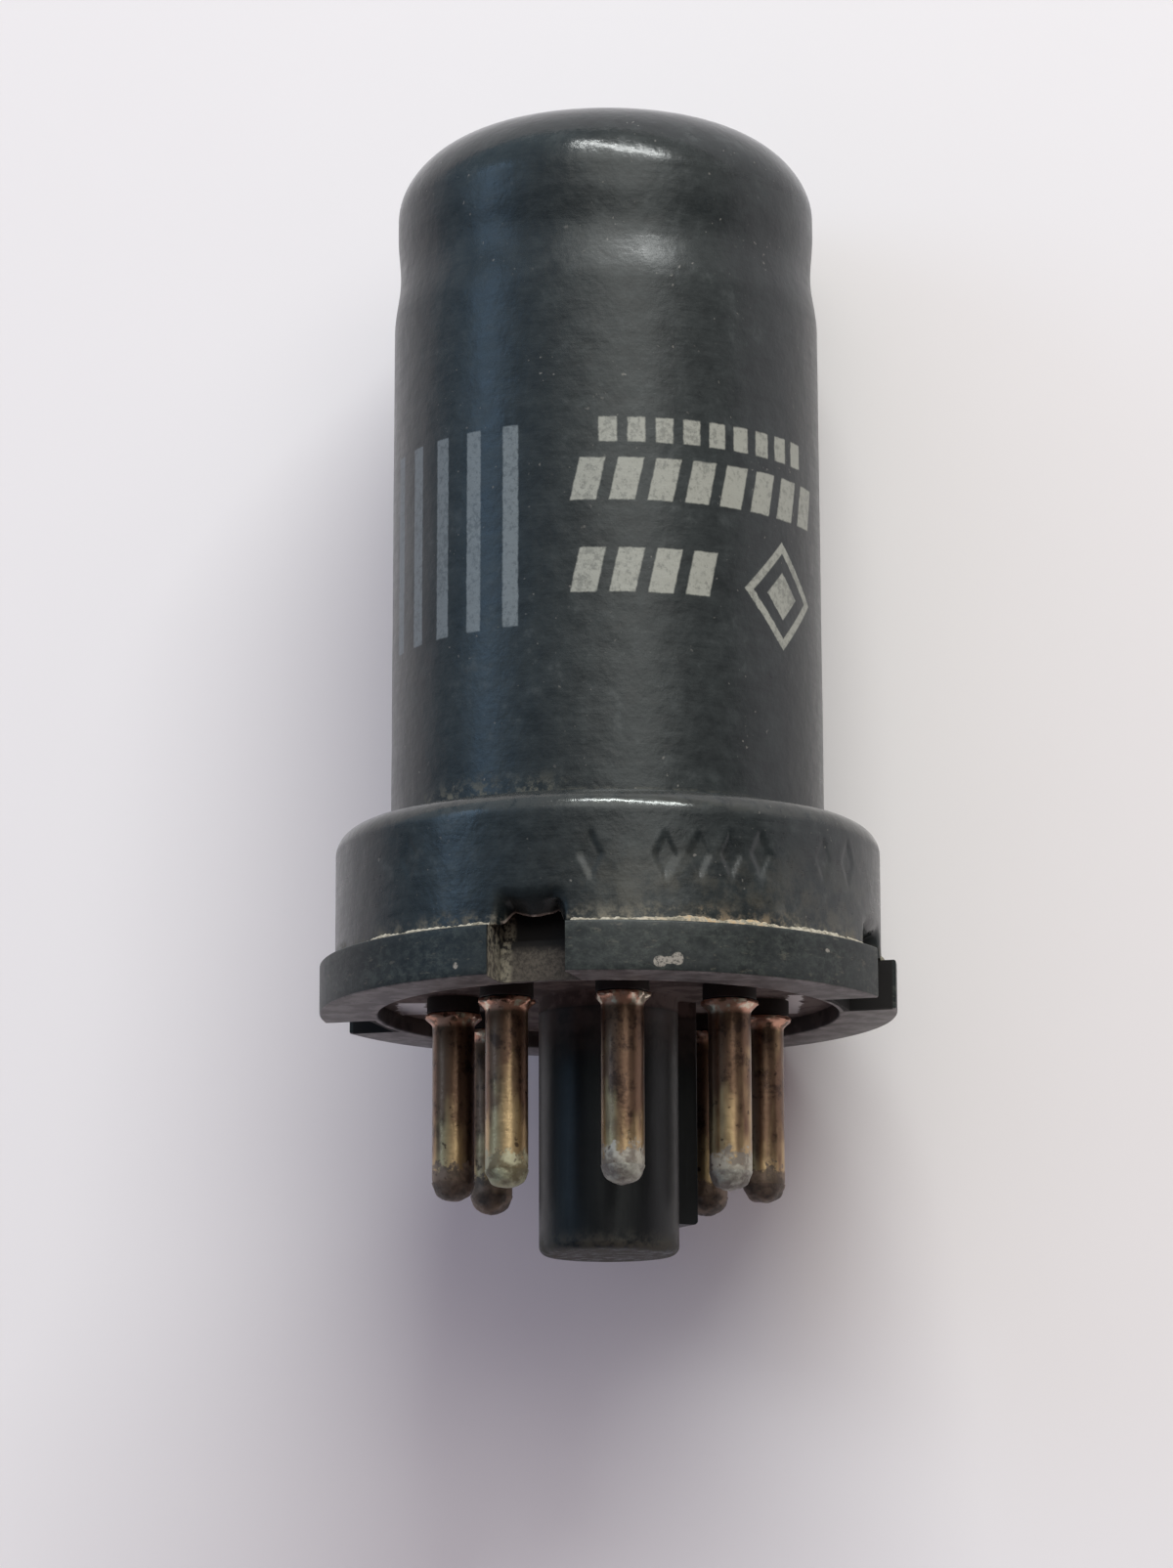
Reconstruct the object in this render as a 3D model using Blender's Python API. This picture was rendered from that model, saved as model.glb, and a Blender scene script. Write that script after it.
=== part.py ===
"""Metal receiving tube with a small-wafer octal base, lying as it comes to rest.

The tube is modelled upright about its own axis. Height 0 is the underside of
the base rim, +Z runs to the dome and -Z to the tip of the aligning plug. The
empty tube_axis then lays it down: one notch of the base rim faces the table,
so the tube rests on the two corners of that notch and on the dome's shoulder.
"""

import math

import bmesh
import bpy
from mathutils import Matrix, Vector

# Clearances
SEAT_GAP = 0.00005
SLIP_FIT = 0.0001

# Sheet steel header with its skirt
SKIRT_RADIUS = 0.01538
SKIRT_HEIGHT = 0.00745
SHEET = 0.0008
SHOULDER_RADIUS = 0.00135
LUG_COUNT = 4
LUG_LENGTH = 0.0016
LUG_FLAT_HALF = 0.0012
LUG_FLANK = 0.0009
LUG_MIDDLE_BEND = math.radians(50)
LUG_EAR_BEND = math.radians(64)

# Drawn can, from its foot on the header to the crown of its dome
CAN_HEIGHT = 0.0413
CAN_FOOT_RADIUS = 0.01228
CAN_DRAFT = 0.00011
GROOVE_DEPTH = 0.00034
GROOVE_LOWER_RUN = 0.0033
GROOVE_UPPER_RUN = 0.0025
BAND_STEP = 0.0002
BAND_HEIGHT = 0.001
DOME_CORNER_WIDTH = 0.0062
DOME_CORNER_HEIGHT = 0.0048
DOME_SQUARENESS = 1.92
CROWN_RISE = 0.0005

# Moulded base wafer
RIM_LEDGE = 0.00087
RIM_HEIGHT = 0.0028
SPIGOT_HEIGHT = 0.0018
RING_WIDTH = 0.0033
RECESS_DEPTH = 0.00095
BOSS_MARGIN = 0.0002
NOTCH_DEPTH = 0.0028
LOCK_DEPTH = 0.00055
LOCK_LEDGE = 0.0022

# Aligning plug and key
PLUG_RADIUS = 0.00392
PLUG_REACH = 0.0135
PLUG_EDGE = 0.0005
PLUG_WALL = 0.0009
PLUG_FLOOR = 0.0015
KEY_STAND = 0.00115
KEY_WIDTH = 0.0022
KEY_SHORTFALL = 0.00185
KEY_EDGE = 0.00012

# Pins, solder and leads
PIN_COUNT = 8
PIN_CIRCLE_RADIUS = 0.008725
PIN_RADIUS = 0.00119
PIN_WALL = 0.00034
PIN_REACH = 0.0101
PIN_NOSE = 0.0008
COLLAR_LIP = 0.00045
COLLAR_HEIGHT = 0.00065
FLARE_LIP = 0.0004
FLARE_HEIGHT = 0.0003
PIN_CLOCKING = math.radians(21)
SOLDER_HEIGHT = 0.00125
SOLDER_SWELL = 0.00006
SOLDER_OVERLAP = 0.0006
SOLDER_PLUG = 0.00025
LEAD_RADIUS = 0.0003
LEAD_CIRCLE_RADIUS = 0.0052

# Seal in the middle of the header
BUTTON_RADIUS = 0.0075
BUTTON_THICKNESS = 0.0019
INSERT_WALL = 0.0005
INSERT_FLANGE = 0.0023
EXHAUST_RADIUS = 0.0015
EXHAUST_WALL = 0.0005
EXHAUST_PINCH = 0.0025
SHIELD_WALL = 0.00025
SHIELD_FLANGE = 0.0012
SHIELD_BELOW = 0.009

# Heights and radii that follow
HEADER_FOOT = RIM_HEIGHT + SEAT_GAP
HEADER_TOP = HEADER_FOOT + SKIRT_HEIGHT
CAN_FOOT = HEADER_TOP + SEAT_GAP
CAN_TOP = CAN_FOOT + CAN_HEIGHT
RIM_RADIUS = SKIRT_RADIUS + RIM_LEDGE
SPIGOT_RADIUS = SKIRT_RADIUS - SHEET - SLIP_FIT
WAFER_TOP = RIM_HEIGHT + SPIGOT_HEIGHT
LUG_HALF = LUG_FLAT_HALF + LUG_FLANK
NOTCH_HALF = LUG_HALF + SLIP_FIT
PLUG_BORE = PLUG_RADIUS - PLUG_WALL
PIN_BORE = PIN_RADIUS - PIN_WALL
BUTTON_TOP = HEADER_TOP - SLIP_FIT
BUTTON_FOOT = BUTTON_TOP - BUTTON_THICKNESS
INSERT_BORE = BUTTON_RADIUS + SLIP_FIT
QUARTER = 2 * math.pi / LUG_COUNT
PIN_STEP = 2 * math.pi / PIN_COUNT
KEY_AZIMUTH = PIN_CLOCKING + 2.5 * PIN_STEP

ROUND_STEPS = 60
PIN_SIDES = 12
TINY = 1e-7


def on_circle(radius, azimuth, height=0.0):
    """Point at an azimuth that runs from -Y towards +X."""
    return Vector((radius * math.sin(azimuth), -radius * math.cos(azimuth), height))


def arc(centre, width, height, start, end, points, power=1.0):
    """Points of a quarter-like arc in the (radius, height) plane."""
    cx, cz = centre
    out = []
    for i in range(points + 1):
        t = start + (end - start) * i / points
        c = math.copysign(abs(math.cos(t)) ** power, math.cos(t))
        s = math.copysign(abs(math.sin(t)) ** power, math.sin(t))
        out.append((cx + width * c, cz + height * s))
    return out


def swept_step(start, end, points):
    """Smooth run from one (radius, height) point to another, level at both ends."""
    (r0, z0), (r1, z1) = start, end
    return [
        (r0 + (r1 - r0) * (1 - math.cos(math.pi * i / points)) / 2, z0 + (z1 - z0) * i / points)
        for i in range(points + 1)
    ]


def can_profile():
    """Outside of the can from the crown of the dome down to its foot."""
    can_radius = CAN_FOOT_RADIUS - CAN_DRAFT
    band_radius = can_radius - BAND_STEP
    groove_radius = can_radius - GROOVE_DEPTH
    corner = CAN_TOP - CROWN_RISE - DOME_CORNER_HEIGHT
    crown_radius = band_radius - DOME_CORNER_WIDTH
    band_foot = corner - BAND_HEIGHT
    groove = band_foot - GROOVE_UPPER_RUN
    groove_foot = groove - GROOVE_LOWER_RUN
    crown = [
        (crown_radius * t, CAN_TOP - CROWN_RISE * t * t)
        for t in (0.0, 0.4, 0.75)
    ]
    dome = arc(
        (crown_radius, corner), DOME_CORNER_WIDTH, DOME_CORNER_HEIGHT,
        math.pi / 2, 0.0, 10, 2 / DOME_SQUARENESS,
    )
    upper = swept_step((band_radius, band_foot), (groove_radius, groove), 4)
    lower = swept_step((groove_radius, groove), (can_radius, groove_foot), 5)
    return crown + dome + upper + lower[1:] + [(CAN_FOOT_RADIUS, CAN_FOOT)]


def resting_tilt():
    """Angle by which the dome end dips when the rim and the dome touch the table."""
    rim = math.sqrt(RIM_RADIUS ** 2 - NOTCH_HALF ** 2)
    return min(
        math.atan2(rim - radius, height - RIM_HEIGHT)
        for radius, height in can_profile()[:-1]
    )


def material(name, colour, roughness, metallic):
    """Plain finish with the piece's base colour."""
    finish = bpy.data.materials.new(name)
    finish.use_nodes = True
    shader = finish.node_tree.nodes["Principled BSDF"]
    shader.inputs["Base Color"].default_value = (*colour, 1.0)
    shader.inputs["Roughness"].default_value = roughness
    shader.inputs["Metallic"].default_value = metallic
    return finish


def add_piece(name, bm, finish, parent, location=(0, 0, 0), turn=0.0):
    """One named piece from a bmesh, shaded smooth with its edges kept sharp."""
    bmesh.ops.remove_doubles(bm, verts=bm.verts, dist=TINY)
    bmesh.ops.recalc_face_normals(bm, faces=bm.faces)
    mesh = bpy.data.meshes.new(name)
    bm.to_mesh(mesh)
    bm.free()
    return add_mesh(name, mesh, finish, parent, location, turn)


def add_mesh(name, mesh, finish, parent, location=(0, 0, 0), turn=0.0):
    """One named piece that may share its mesh with its twins."""
    mesh.shade_smooth()
    mesh.set_sharp_from_angle(angle=math.radians(35))
    if not mesh.materials:
        mesh.materials.append(finish)
    piece = bpy.data.objects.new(name, mesh)
    bpy.context.scene.collection.objects.link(piece)
    piece.parent = parent
    piece.location = location
    piece.rotation_euler = (0, 0, turn)
    return piece


def turned(points, closed, stretches=((2 * math.pi, ROUND_STEPS),)):
    """Spin a (radius, height) outline about the axis, in stretches of angle and steps."""
    bm = bmesh.new()
    verts = [bm.verts.new((radius, 0, height)) for radius, height in points]
    edges = [bm.edges.new(pair) for pair in zip(verts, verts[1:])]
    if closed:
        edges.append(bm.edges.new((verts[-1], verts[0])))
    last = verts + edges
    for angle, steps in stretches:
        spun = bmesh.ops.spin(
            bm, geom=last, cent=(0, 0, 0), axis=(0, 0, 1), angle=angle, steps=steps,
        )
        last = spun["geom_last"]
    bmesh.ops.remove_doubles(bm, verts=bm.verts, dist=TINY)
    return bm


def cylinder(radius, foot, top, sides, place=(0, 0)):
    """Upright cylinder between two heights."""
    bm = bmesh.new()
    bmesh.ops.create_cone(
        bm, cap_ends=True, segments=sides, radius1=radius, radius2=radius, depth=top - foot,
        matrix=Matrix.Translation((place[0], place[1], (foot + top) / 2)),
    )
    return bm


def box(inner, outer, half_width, foot, top, azimuth):
    """Upright box that runs outwards from one radius to another at an azimuth."""
    bm = bmesh.new()
    middle = on_circle((inner + outer) / 2, azimuth, (foot + top) / 2)
    size = Matrix.Diagonal((outer - inner, 2 * half_width, top - foot, 1.0))
    turn = Matrix.Rotation(azimuth - math.pi / 2, 4, "Z")
    bmesh.ops.create_cube(bm, size=1.0, matrix=Matrix.Translation(middle) @ turn @ size)
    return bm


def as_tool(name, bm):
    """Hidden cutter or joiner for a Boolean."""
    mesh = bpy.data.meshes.new(name)
    bm.to_mesh(mesh)
    bm.free()
    tool = bpy.data.objects.new(name, mesh)
    tool.hide_render = True
    tool.display_type = "WIRE"
    bpy.context.scene.collection.objects.link(tool)
    return tool


def combined(bm, steps):
    """Mesh of a bmesh after a list of (operation, tool) Booleans."""
    body = as_tool("blank", bm)
    for operation, tool in steps:
        change = body.modifiers.new(tool.name, "BOOLEAN")
        change.operation = operation
        change.solver = "EXACT"
        change.object = tool
    view = bpy.context.evaluated_depsgraph_get()
    mesh = bpy.data.meshes.new_from_object(body.evaluated_get(view))
    for helper in [body] + [tool for _, tool in steps]:
        bpy.data.objects.remove(helper)
    return mesh


def gathered(pieces):
    """One bmesh that holds several separate shapes."""
    whole = bmesh.new()
    for bm in pieces:
        mesh = bpy.data.meshes.new("shape")
        bm.to_mesh(mesh)
        bm.free()
        whole.from_mesh(mesh)
        bpy.data.meshes.remove(mesh)
    return whole


def build_envelope(parent):
    """The sealed can with all it holds, as one solid of revolution."""
    outline = can_profile() + [(0.0, CAN_FOOT)]
    finish = material("black_paint", (0.022, 0.026, 0.03), 0.38, 0.0)
    return add_piece("envelope", turned(outline, False), finish, parent)


def lug_bend(aside):
    """How far the skirt's edge is staked in, at a distance from the lug's middle."""
    aside = abs(aside)
    if aside >= LUG_HALF:
        return 0.0
    if aside > LUG_FLAT_HALF:
        t = (LUG_HALF - aside) / LUG_FLANK
        return LUG_EAR_BEND * t * t * (3 - 2 * t)
    return LUG_MIDDLE_BEND + (LUG_EAR_BEND - LUG_MIDDLE_BEND) * (aside / LUG_FLAT_HALF) ** 2


def stake_lugs(bm, fold):
    """Bend the skirt's edge inwards over the ledges of the base's notches."""
    for vert in bm.verts:
        if vert.co.z > fold - TINY:
            continue
        radius = math.hypot(vert.co.x, vert.co.y)
        angle = math.atan2(vert.co.y, vert.co.x)
        middle = round(angle / QUARTER) * QUARTER
        aside = radius * math.sin(angle - middle)
        bend = lug_bend(aside)
        outer = math.sqrt(SKIRT_RADIUS ** 2 - aside ** 2)
        out = radius * math.cos(angle - middle) - outer
        drop = vert.co.z - fold
        new_out = outer + out * math.cos(bend) + drop * math.sin(bend)
        height = fold + drop * math.cos(bend) - out * math.sin(bend)
        vert.co = Matrix.Rotation(middle, 3, "Z") @ Vector((new_out, aside, height))


def build_header(parent):
    """Pressed header: skirt, round shoulder and flat with the hole for the seal."""
    fold = HEADER_FOOT + LUG_LENGTH
    bore = INSERT_BORE + INSERT_WALL + SLIP_FIT
    bend_radius = SHOULDER_RADIUS - SHEET / 2
    outer = arc(
        (SKIRT_RADIUS - SHOULDER_RADIUS, HEADER_TOP - SHOULDER_RADIUS),
        SHOULDER_RADIUS, SHOULDER_RADIUS, math.pi / 2, 0.0, 5,
    )
    inner = arc(
        (SKIRT_RADIUS - SHEET - bend_radius, HEADER_TOP - SHEET - bend_radius),
        bend_radius, bend_radius, 0.0, math.pi / 2, 3,
    )
    half_drop = (fold + HEADER_FOOT) / 2
    outline = [(bore, HEADER_TOP)] + outer + [
        (SKIRT_RADIUS, fold), (SKIRT_RADIUS, half_drop), (SKIRT_RADIUS, HEADER_FOOT),
        (SKIRT_RADIUS - SHEET, HEADER_FOOT), (SKIRT_RADIUS - SHEET, fold),
    ] + inner + [(bore, HEADER_TOP - SHEET)]
    half_lug = math.asin(LUG_HALF / (SKIRT_RADIUS - SHEET)) + math.radians(0.5)
    quarter = ((half_lug, 6), (QUARTER - 2 * half_lug, 11), (half_lug, 6))
    bm = turned(outline, True, quarter * LUG_COUNT)
    stake_lugs(bm, fold)
    finish = material("black_paint_header", (0.024, 0.028, 0.032), 0.36, 0.0)
    return add_piece("header", bm, finish, parent)


def build_base(parent, pin_azimuths):
    """Moulded wafer with recess, bosses, notches, hollow aligning plug and key."""
    recess_radius = RIM_RADIUS - RING_WIDTH
    plug_tip = -PLUG_REACH
    plug_edge = arc(
        (PLUG_RADIUS - PLUG_EDGE, plug_tip + PLUG_EDGE), PLUG_EDGE, PLUG_EDGE,
        0.0, -math.pi / 2, 3,
    )
    outline = [
        (PLUG_BORE, WAFER_TOP), (SPIGOT_RADIUS, WAFER_TOP), (SPIGOT_RADIUS, RIM_HEIGHT),
        (RIM_RADIUS, RIM_HEIGHT), (RIM_RADIUS, 0.0), (recess_radius, 0.0),
        (recess_radius, RECESS_DEPTH), (PLUG_RADIUS, RECESS_DEPTH),
    ] + plug_edge + [(0.0, plug_tip), (0.0, plug_tip + PLUG_FLOOR), (PLUG_BORE, plug_tip + PLUG_FLOOR)]
    blank = turned(outline + [(PLUG_BORE, WAFER_TOP)], False, ((2 * math.pi, ROUND_STEPS),))

    hole_radius = PIN_RADIUS + SLIP_FIT
    boss_radius = hole_radius + BOSS_MARGIN
    places = [on_circle(PIN_CIRCLE_RADIUS, azimuth) for azimuth in pin_azimuths]
    middle = (RECESS_DEPTH + WAFER_TOP) / 2
    bosses = gathered(cylinder(boss_radius, 0.0, middle, 20, (p.x, p.y)) for p in places)
    holes = gathered(
        cylinder(hole_radius, -RIM_HEIGHT, 2 * WAFER_TOP, PIN_SIDES, (p.x, p.y)) for p in places
    )

    key = box(
        PLUG_BORE + PLUG_WALL / 2, PLUG_RADIUS + KEY_STAND, KEY_WIDTH / 2,
        plug_tip + KEY_SHORTFALL, middle, KEY_AZIMUTH,
    )
    outer_edges = [
        edge for edge in key.edges
        if all(vert.co.xy.length > PLUG_RADIUS + KEY_STAND / 2 for vert in edge.verts)
    ]
    bmesh.ops.bevel(
        key, geom=outer_edges, offset=KEY_EDGE, segments=2, affect="EDGES", profile=0.5,
    )

    floor = RIM_RADIUS - NOTCH_DEPTH
    beyond = 2 * RIM_RADIUS
    notches = gathered(
        box(floor, beyond, NOTCH_HALF, -RIM_HEIGHT, LOCK_LEDGE, i * QUARTER)
        for i in range(LUG_COUNT)
    )
    locks = gathered(
        box(floor - LOCK_DEPTH, beyond, NOTCH_HALF, LOCK_LEDGE, 2 * WAFER_TOP, i * QUARTER)
        for i in range(LUG_COUNT)
    )
    bmesh.ops.recalc_face_normals(blank, faces=blank.faces)
    mesh = combined(blank, [
        ("UNION", as_tool("bosses", bosses)),
        ("UNION", as_tool("key", key)),
        ("DIFFERENCE", as_tool("pin_holes", holes)),
        ("DIFFERENCE", as_tool("notches", notches)),
        ("DIFFERENCE", as_tool("lock_steps", locks)),
    ])
    finish = material("dark_phenolic", (0.025, 0.03, 0.032), 0.42, 0.0)
    return add_mesh("octal_base", mesh, finish, parent)


def pin_mesh():
    """Hollow pin: flare above the wafer, collar below it and a round open nose."""
    nose_centre = -(PIN_REACH - PIN_NOSE)
    flare_foot = WAFER_TOP + SEAT_GAP
    collar_top = -SEAT_GAP
    nose_hole = PIN_RADIUS - PIN_NOSE
    outline = [
        (PIN_BORE, flare_foot + FLARE_HEIGHT), (PIN_RADIUS + FLARE_LIP, flare_foot + FLARE_HEIGHT / 2),
        (PIN_RADIUS + FLARE_LIP, flare_foot), (PIN_RADIUS, flare_foot),
        (PIN_RADIUS, collar_top), (PIN_RADIUS + COLLAR_LIP, collar_top),
        (PIN_RADIUS + COLLAR_LIP, collar_top - COLLAR_HEIGHT / 3), (PIN_RADIUS, collar_top - COLLAR_HEIGHT),
    ]
    outline += arc((nose_hole, nose_centre), PIN_NOSE, PIN_NOSE, 0.0, -math.pi / 2, 4)
    bore_nose = PIN_NOSE - PIN_WALL
    outline += arc((nose_hole, nose_centre), bore_nose, bore_nose, -math.pi / 2, 0.0, 2)
    return turned(outline, True, ((2 * math.pi, PIN_SIDES),))


def solder_mesh():
    """Solder that wraps the pin's nose and plugs its hole."""
    nose_hole = PIN_RADIUS - PIN_NOSE
    nose_centre = -(PIN_REACH - PIN_NOSE)
    edge = -PIN_REACH + SOLDER_OVERLAP
    wrap = PIN_NOSE + SEAT_GAP
    start = math.asin((nose_centre - edge) / wrap)
    outer = arc((0.0, edge), PIN_RADIUS + SOLDER_SWELL, SOLDER_HEIGHT, 0.0, -math.pi / 2, 4)
    inner = arc((nose_hole, nose_centre), wrap, wrap, -math.pi / 2, -start, 2)
    plug_radius = nose_hole - SEAT_GAP
    plug_top = -PIN_REACH + PIN_WALL - SOLDER_PLUG / 2
    plug = [(0.0, plug_top), (plug_radius, plug_top), (plug_radius, -PIN_REACH - SEAT_GAP)]
    outline = outer + plug + inner
    return turned(outline + [outline[0]], False, ((2 * math.pi, PIN_SIDES),))


def build_pins(parent, pin_azimuths):
    """Eight pins with their solder, numbered clockwise from the key as seen from below."""
    brass = material("tarnished_brass", (0.20, 0.13, 0.075), 0.42, 1.0)
    tin = material("dull_solder", (0.33, 0.32, 0.28), 0.55, 1.0)
    shapes = {}
    for label, bm, finish in (("base_pin", pin_mesh(), brass), ("solder_tip", solder_mesh(), tin)):
        first = on_circle(PIN_CIRCLE_RADIUS, pin_azimuths[0])
        shapes[label] = add_piece(f"{label}_1", bm, finish, parent, first, pin_azimuths[0]).data
        for number, azimuth in enumerate(pin_azimuths[1:], start=2):
            place = on_circle(PIN_CIRCLE_RADIUS, azimuth)
            add_mesh(f"{label}_{number}", shapes[label], finish, parent, place, azimuth)


def lead_route():
    """Lead from the top of the glass button to the bottom of its pin, in the (x, z) plane."""
    out = PIN_CIRCLE_RADIUS - LEAD_CIRCLE_RADIUS
    straight = BUTTON_FOOT - LEAD_RADIUS
    mouth = WAFER_TOP + 2 * FLARE_HEIGHT + LEAD_RADIUS
    foot = -PIN_REACH + PIN_NOSE - LEAD_RADIUS
    bend = swept_step((0.0, straight), (out, mouth), 6)
    return [(0.0, BUTTON_TOP)] + bend + [(out, foot)]


def build_leads(parent, pin_azimuths):
    """Eight lead wires, each a round wire along its route."""
    finish = material("lead_wire", (0.45, 0.43, 0.4), 0.4, 1.0)
    for number, azimuth in enumerate(pin_azimuths, start=1):
        name = f"lead_wire_{number}"
        curve = bpy.data.curves.new(name, "CURVE")
        curve.dimensions = "3D"
        curve.bevel_depth = LEAD_RADIUS
        curve.bevel_resolution = 1
        curve.use_fill_caps = True
        curve.materials.append(finish)
        route = lead_route()
        spline = curve.splines.new("POLY")
        spline.points.add(len(route) - 1)
        for point, (x, z) in zip(spline.points, route):
            point.co = (x, 0.0, z, 1.0)
        wire = bpy.data.objects.new(name, curve)
        bpy.context.scene.collection.objects.link(wire)
        wire.parent = parent
        wire.location = on_circle(LEAD_CIRCLE_RADIUS, azimuth)
        wire.rotation_euler = (0, 0, azimuth - math.pi / 2)


def build_seal(parent, pin_azimuths):
    """Header insert and the glass button that the leads and exhaust tube pass."""
    insert_outer = INSERT_BORE + INSERT_WALL
    flange_top = HEADER_TOP - SHEET - SEAT_GAP
    flange_foot = flange_top - INSERT_WALL
    outline = [
        (INSERT_BORE, BUTTON_TOP), (insert_outer, BUTTON_TOP), (insert_outer, flange_top),
        (insert_outer + INSERT_FLANGE, flange_top), (insert_outer + INSERT_FLANGE, flange_foot),
        (INSERT_BORE, flange_foot),
    ]
    steel = material("insert_alloy", (0.42, 0.41, 0.4), 0.35, 1.0)
    add_piece("header_insert", turned(outline, True, ((2 * math.pi, 32),)), steel, parent)

    hole_radius = LEAD_RADIUS + SLIP_FIT
    spots = [on_circle(LEAD_CIRCLE_RADIUS, azimuth) for azimuth in pin_azimuths]
    cuts = [cylinder(hole_radius, 0.0, 2 * BUTTON_TOP, 8, (p.x, p.y)) for p in spots]
    cuts.append(cylinder(EXHAUST_RADIUS + SLIP_FIT, 0.0, 2 * BUTTON_TOP, 16))
    disc = cylinder(BUTTON_RADIUS, BUTTON_FOOT, BUTTON_TOP, 32)
    mesh = combined(disc, [("DIFFERENCE", as_tool("seal_holes", gathered(cuts)))])
    glass = material("seal_glass", (0.35, 0.42, 0.45), 0.1, 0.0)
    add_mesh("glass_button_seal", mesh, glass, parent)


def build_exhaust(parent):
    """Exhaust tube, open to the vacuum at its top and pinched shut at its foot."""
    pinch_top = -SHIELD_BELOW + EXHAUST_PINCH
    pinch_foot = -SHIELD_BELOW
    bore = EXHAUST_RADIUS - EXHAUST_WALL
    outline = [
        (bore, BUTTON_TOP), (EXHAUST_RADIUS, BUTTON_TOP), (EXHAUST_RADIUS, pinch_top),
        (EXHAUST_RADIUS, (pinch_top + pinch_foot) / 2), (EXHAUST_RADIUS, pinch_foot),
        (0.0, pinch_foot), (0.0, pinch_top + EXHAUST_WALL), (bore, pinch_top + EXHAUST_WALL),
    ]
    bm = turned(outline + [outline[0]], False, ((2 * math.pi, 16),))
    flat = EXHAUST_WALL / EXHAUST_RADIUS
    for vert in bm.verts:
        if vert.co.z < pinch_top - TINY:
            vert.co.x *= math.sqrt(2 - flat)
            vert.co.y *= flat
    finish = material("exhaust_steel", (0.38, 0.36, 0.34), 0.4, 1.0)
    add_piece("exhaust_tube", bm, finish, parent)


def build_shield(parent):
    """Cylindrical base shield that hangs in the plug by its flange on the wafer."""
    outer = PLUG_BORE - SLIP_FIT
    inner = outer - SHIELD_WALL
    seat = WAFER_TOP + SEAT_GAP
    outline = [
        (inner, seat + SHIELD_WALL), (outer + SHIELD_FLANGE, seat + SHIELD_WALL),
        (outer + SHIELD_FLANGE, seat), (outer, seat), (outer, -SHIELD_BELOW), (inner, -SHIELD_BELOW),
    ]
    finish = material("shield_steel", (0.4, 0.39, 0.37), 0.4, 1.0)
    add_piece("base_shield", turned(outline, True, ((2 * math.pi, 24),)), finish, parent)


def lay_down(axis):
    """Lay the tube on its rim and dome, middle of its box over the origin."""
    tilt = resting_tilt()
    rim_drop = math.sqrt(RIM_RADIUS ** 2 - NOTCH_HALF ** 2)
    front = -math.cos(tilt) * PLUG_REACH - math.sin(tilt) * (PLUG_RADIUS - PLUG_EDGE)
    back = max(
        math.cos(tilt) * height + math.sin(tilt) * radius for radius, height in can_profile()
    )
    axis.rotation_euler = (-(math.pi / 2 + tilt), 0, 0)
    axis.location = (
        0, -(front + back) / 2, math.cos(tilt) * rim_drop + math.sin(tilt) * RIM_HEIGHT,
    )


def main():
    """Clear the scene and build the tube."""
    for leftover in list(bpy.data.objects):
        bpy.data.objects.remove(leftover)
    axis = bpy.data.objects.new("tube_axis", None)
    bpy.context.scene.collection.objects.link(axis)
    pin_azimuths = [
        KEY_AZIMUTH + (number + 0.5) * PIN_STEP for number in range(PIN_COUNT)
    ]
    build_envelope(axis)
    build_header(axis)
    build_base(axis, pin_azimuths)
    build_pins(axis, pin_azimuths)
    build_leads(axis, pin_azimuths)
    build_seal(axis, pin_azimuths)
    build_exhaust(axis)
    build_shield(axis)
    lay_down(axis)


main()
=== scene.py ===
"""Looks of the metal octal tube: fine meshes, finishes, light and camera.

Every piece is modelled upright about the tube's own axis, in metres, with
height 0 at the underside of the base rim and +Z towards the dome. Azimuth runs
from -Y towards +X. The tube's Stance then lays the piece where the frame has
it, with its place in its mesh, and the finishes read the same tube coordinates
through a Mapping node.
"""

import logging
import math
from dataclasses import dataclass
from enum import Enum
from typing import Callable, Optional, Sequence, Union

import bpy
from mathutils import Matrix, Vector, noise

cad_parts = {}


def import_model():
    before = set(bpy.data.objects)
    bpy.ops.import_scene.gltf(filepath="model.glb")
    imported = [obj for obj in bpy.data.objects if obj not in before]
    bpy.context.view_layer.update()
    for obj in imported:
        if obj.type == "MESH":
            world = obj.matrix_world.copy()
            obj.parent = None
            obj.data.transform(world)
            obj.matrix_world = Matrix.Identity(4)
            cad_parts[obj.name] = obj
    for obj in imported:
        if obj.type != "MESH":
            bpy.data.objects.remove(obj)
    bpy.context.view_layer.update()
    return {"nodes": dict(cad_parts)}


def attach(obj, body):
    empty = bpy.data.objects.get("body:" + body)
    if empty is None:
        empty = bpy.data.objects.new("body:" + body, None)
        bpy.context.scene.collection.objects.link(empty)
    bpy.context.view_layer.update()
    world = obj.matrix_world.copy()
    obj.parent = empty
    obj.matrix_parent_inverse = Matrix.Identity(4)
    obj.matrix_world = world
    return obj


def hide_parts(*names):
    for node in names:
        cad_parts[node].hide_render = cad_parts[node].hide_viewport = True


LOG = logging.getLogger("tube")
BODY = "root"
QUARTER = math.pi / 2
# Azimuth of the tube that faces the camera
FACING = math.radians(16.15)
# Vertices closer than this are merged, in metres
MERGE = 2e-7
# What lies this close to a surface belongs to it, in metres
SKIN = 0.0001
Point = tuple[float, float]
Colour = tuple[float, float, float]
Socket = bpy.types.NodeSocket
Feed = Union[float, Sequence[float], Socket]


@dataclass(frozen=True)
class Stance:
    """How the tube lies: the middle of its base plane and the dip of its dome end."""

    base_y: float = -0.018897
    base_z: float = 0.016293
    tilt: float = math.radians(5.417865)

    def matrix(self) -> Matrix:
        """Tube coordinates to the frame's coordinates."""
        turn = Matrix.Rotation(-(math.pi / 2 + self.tilt), 4, "X")
        return Matrix.Translation((0.0, self.base_y, self.base_z)) @ turn


STANCE = Stance()


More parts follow.
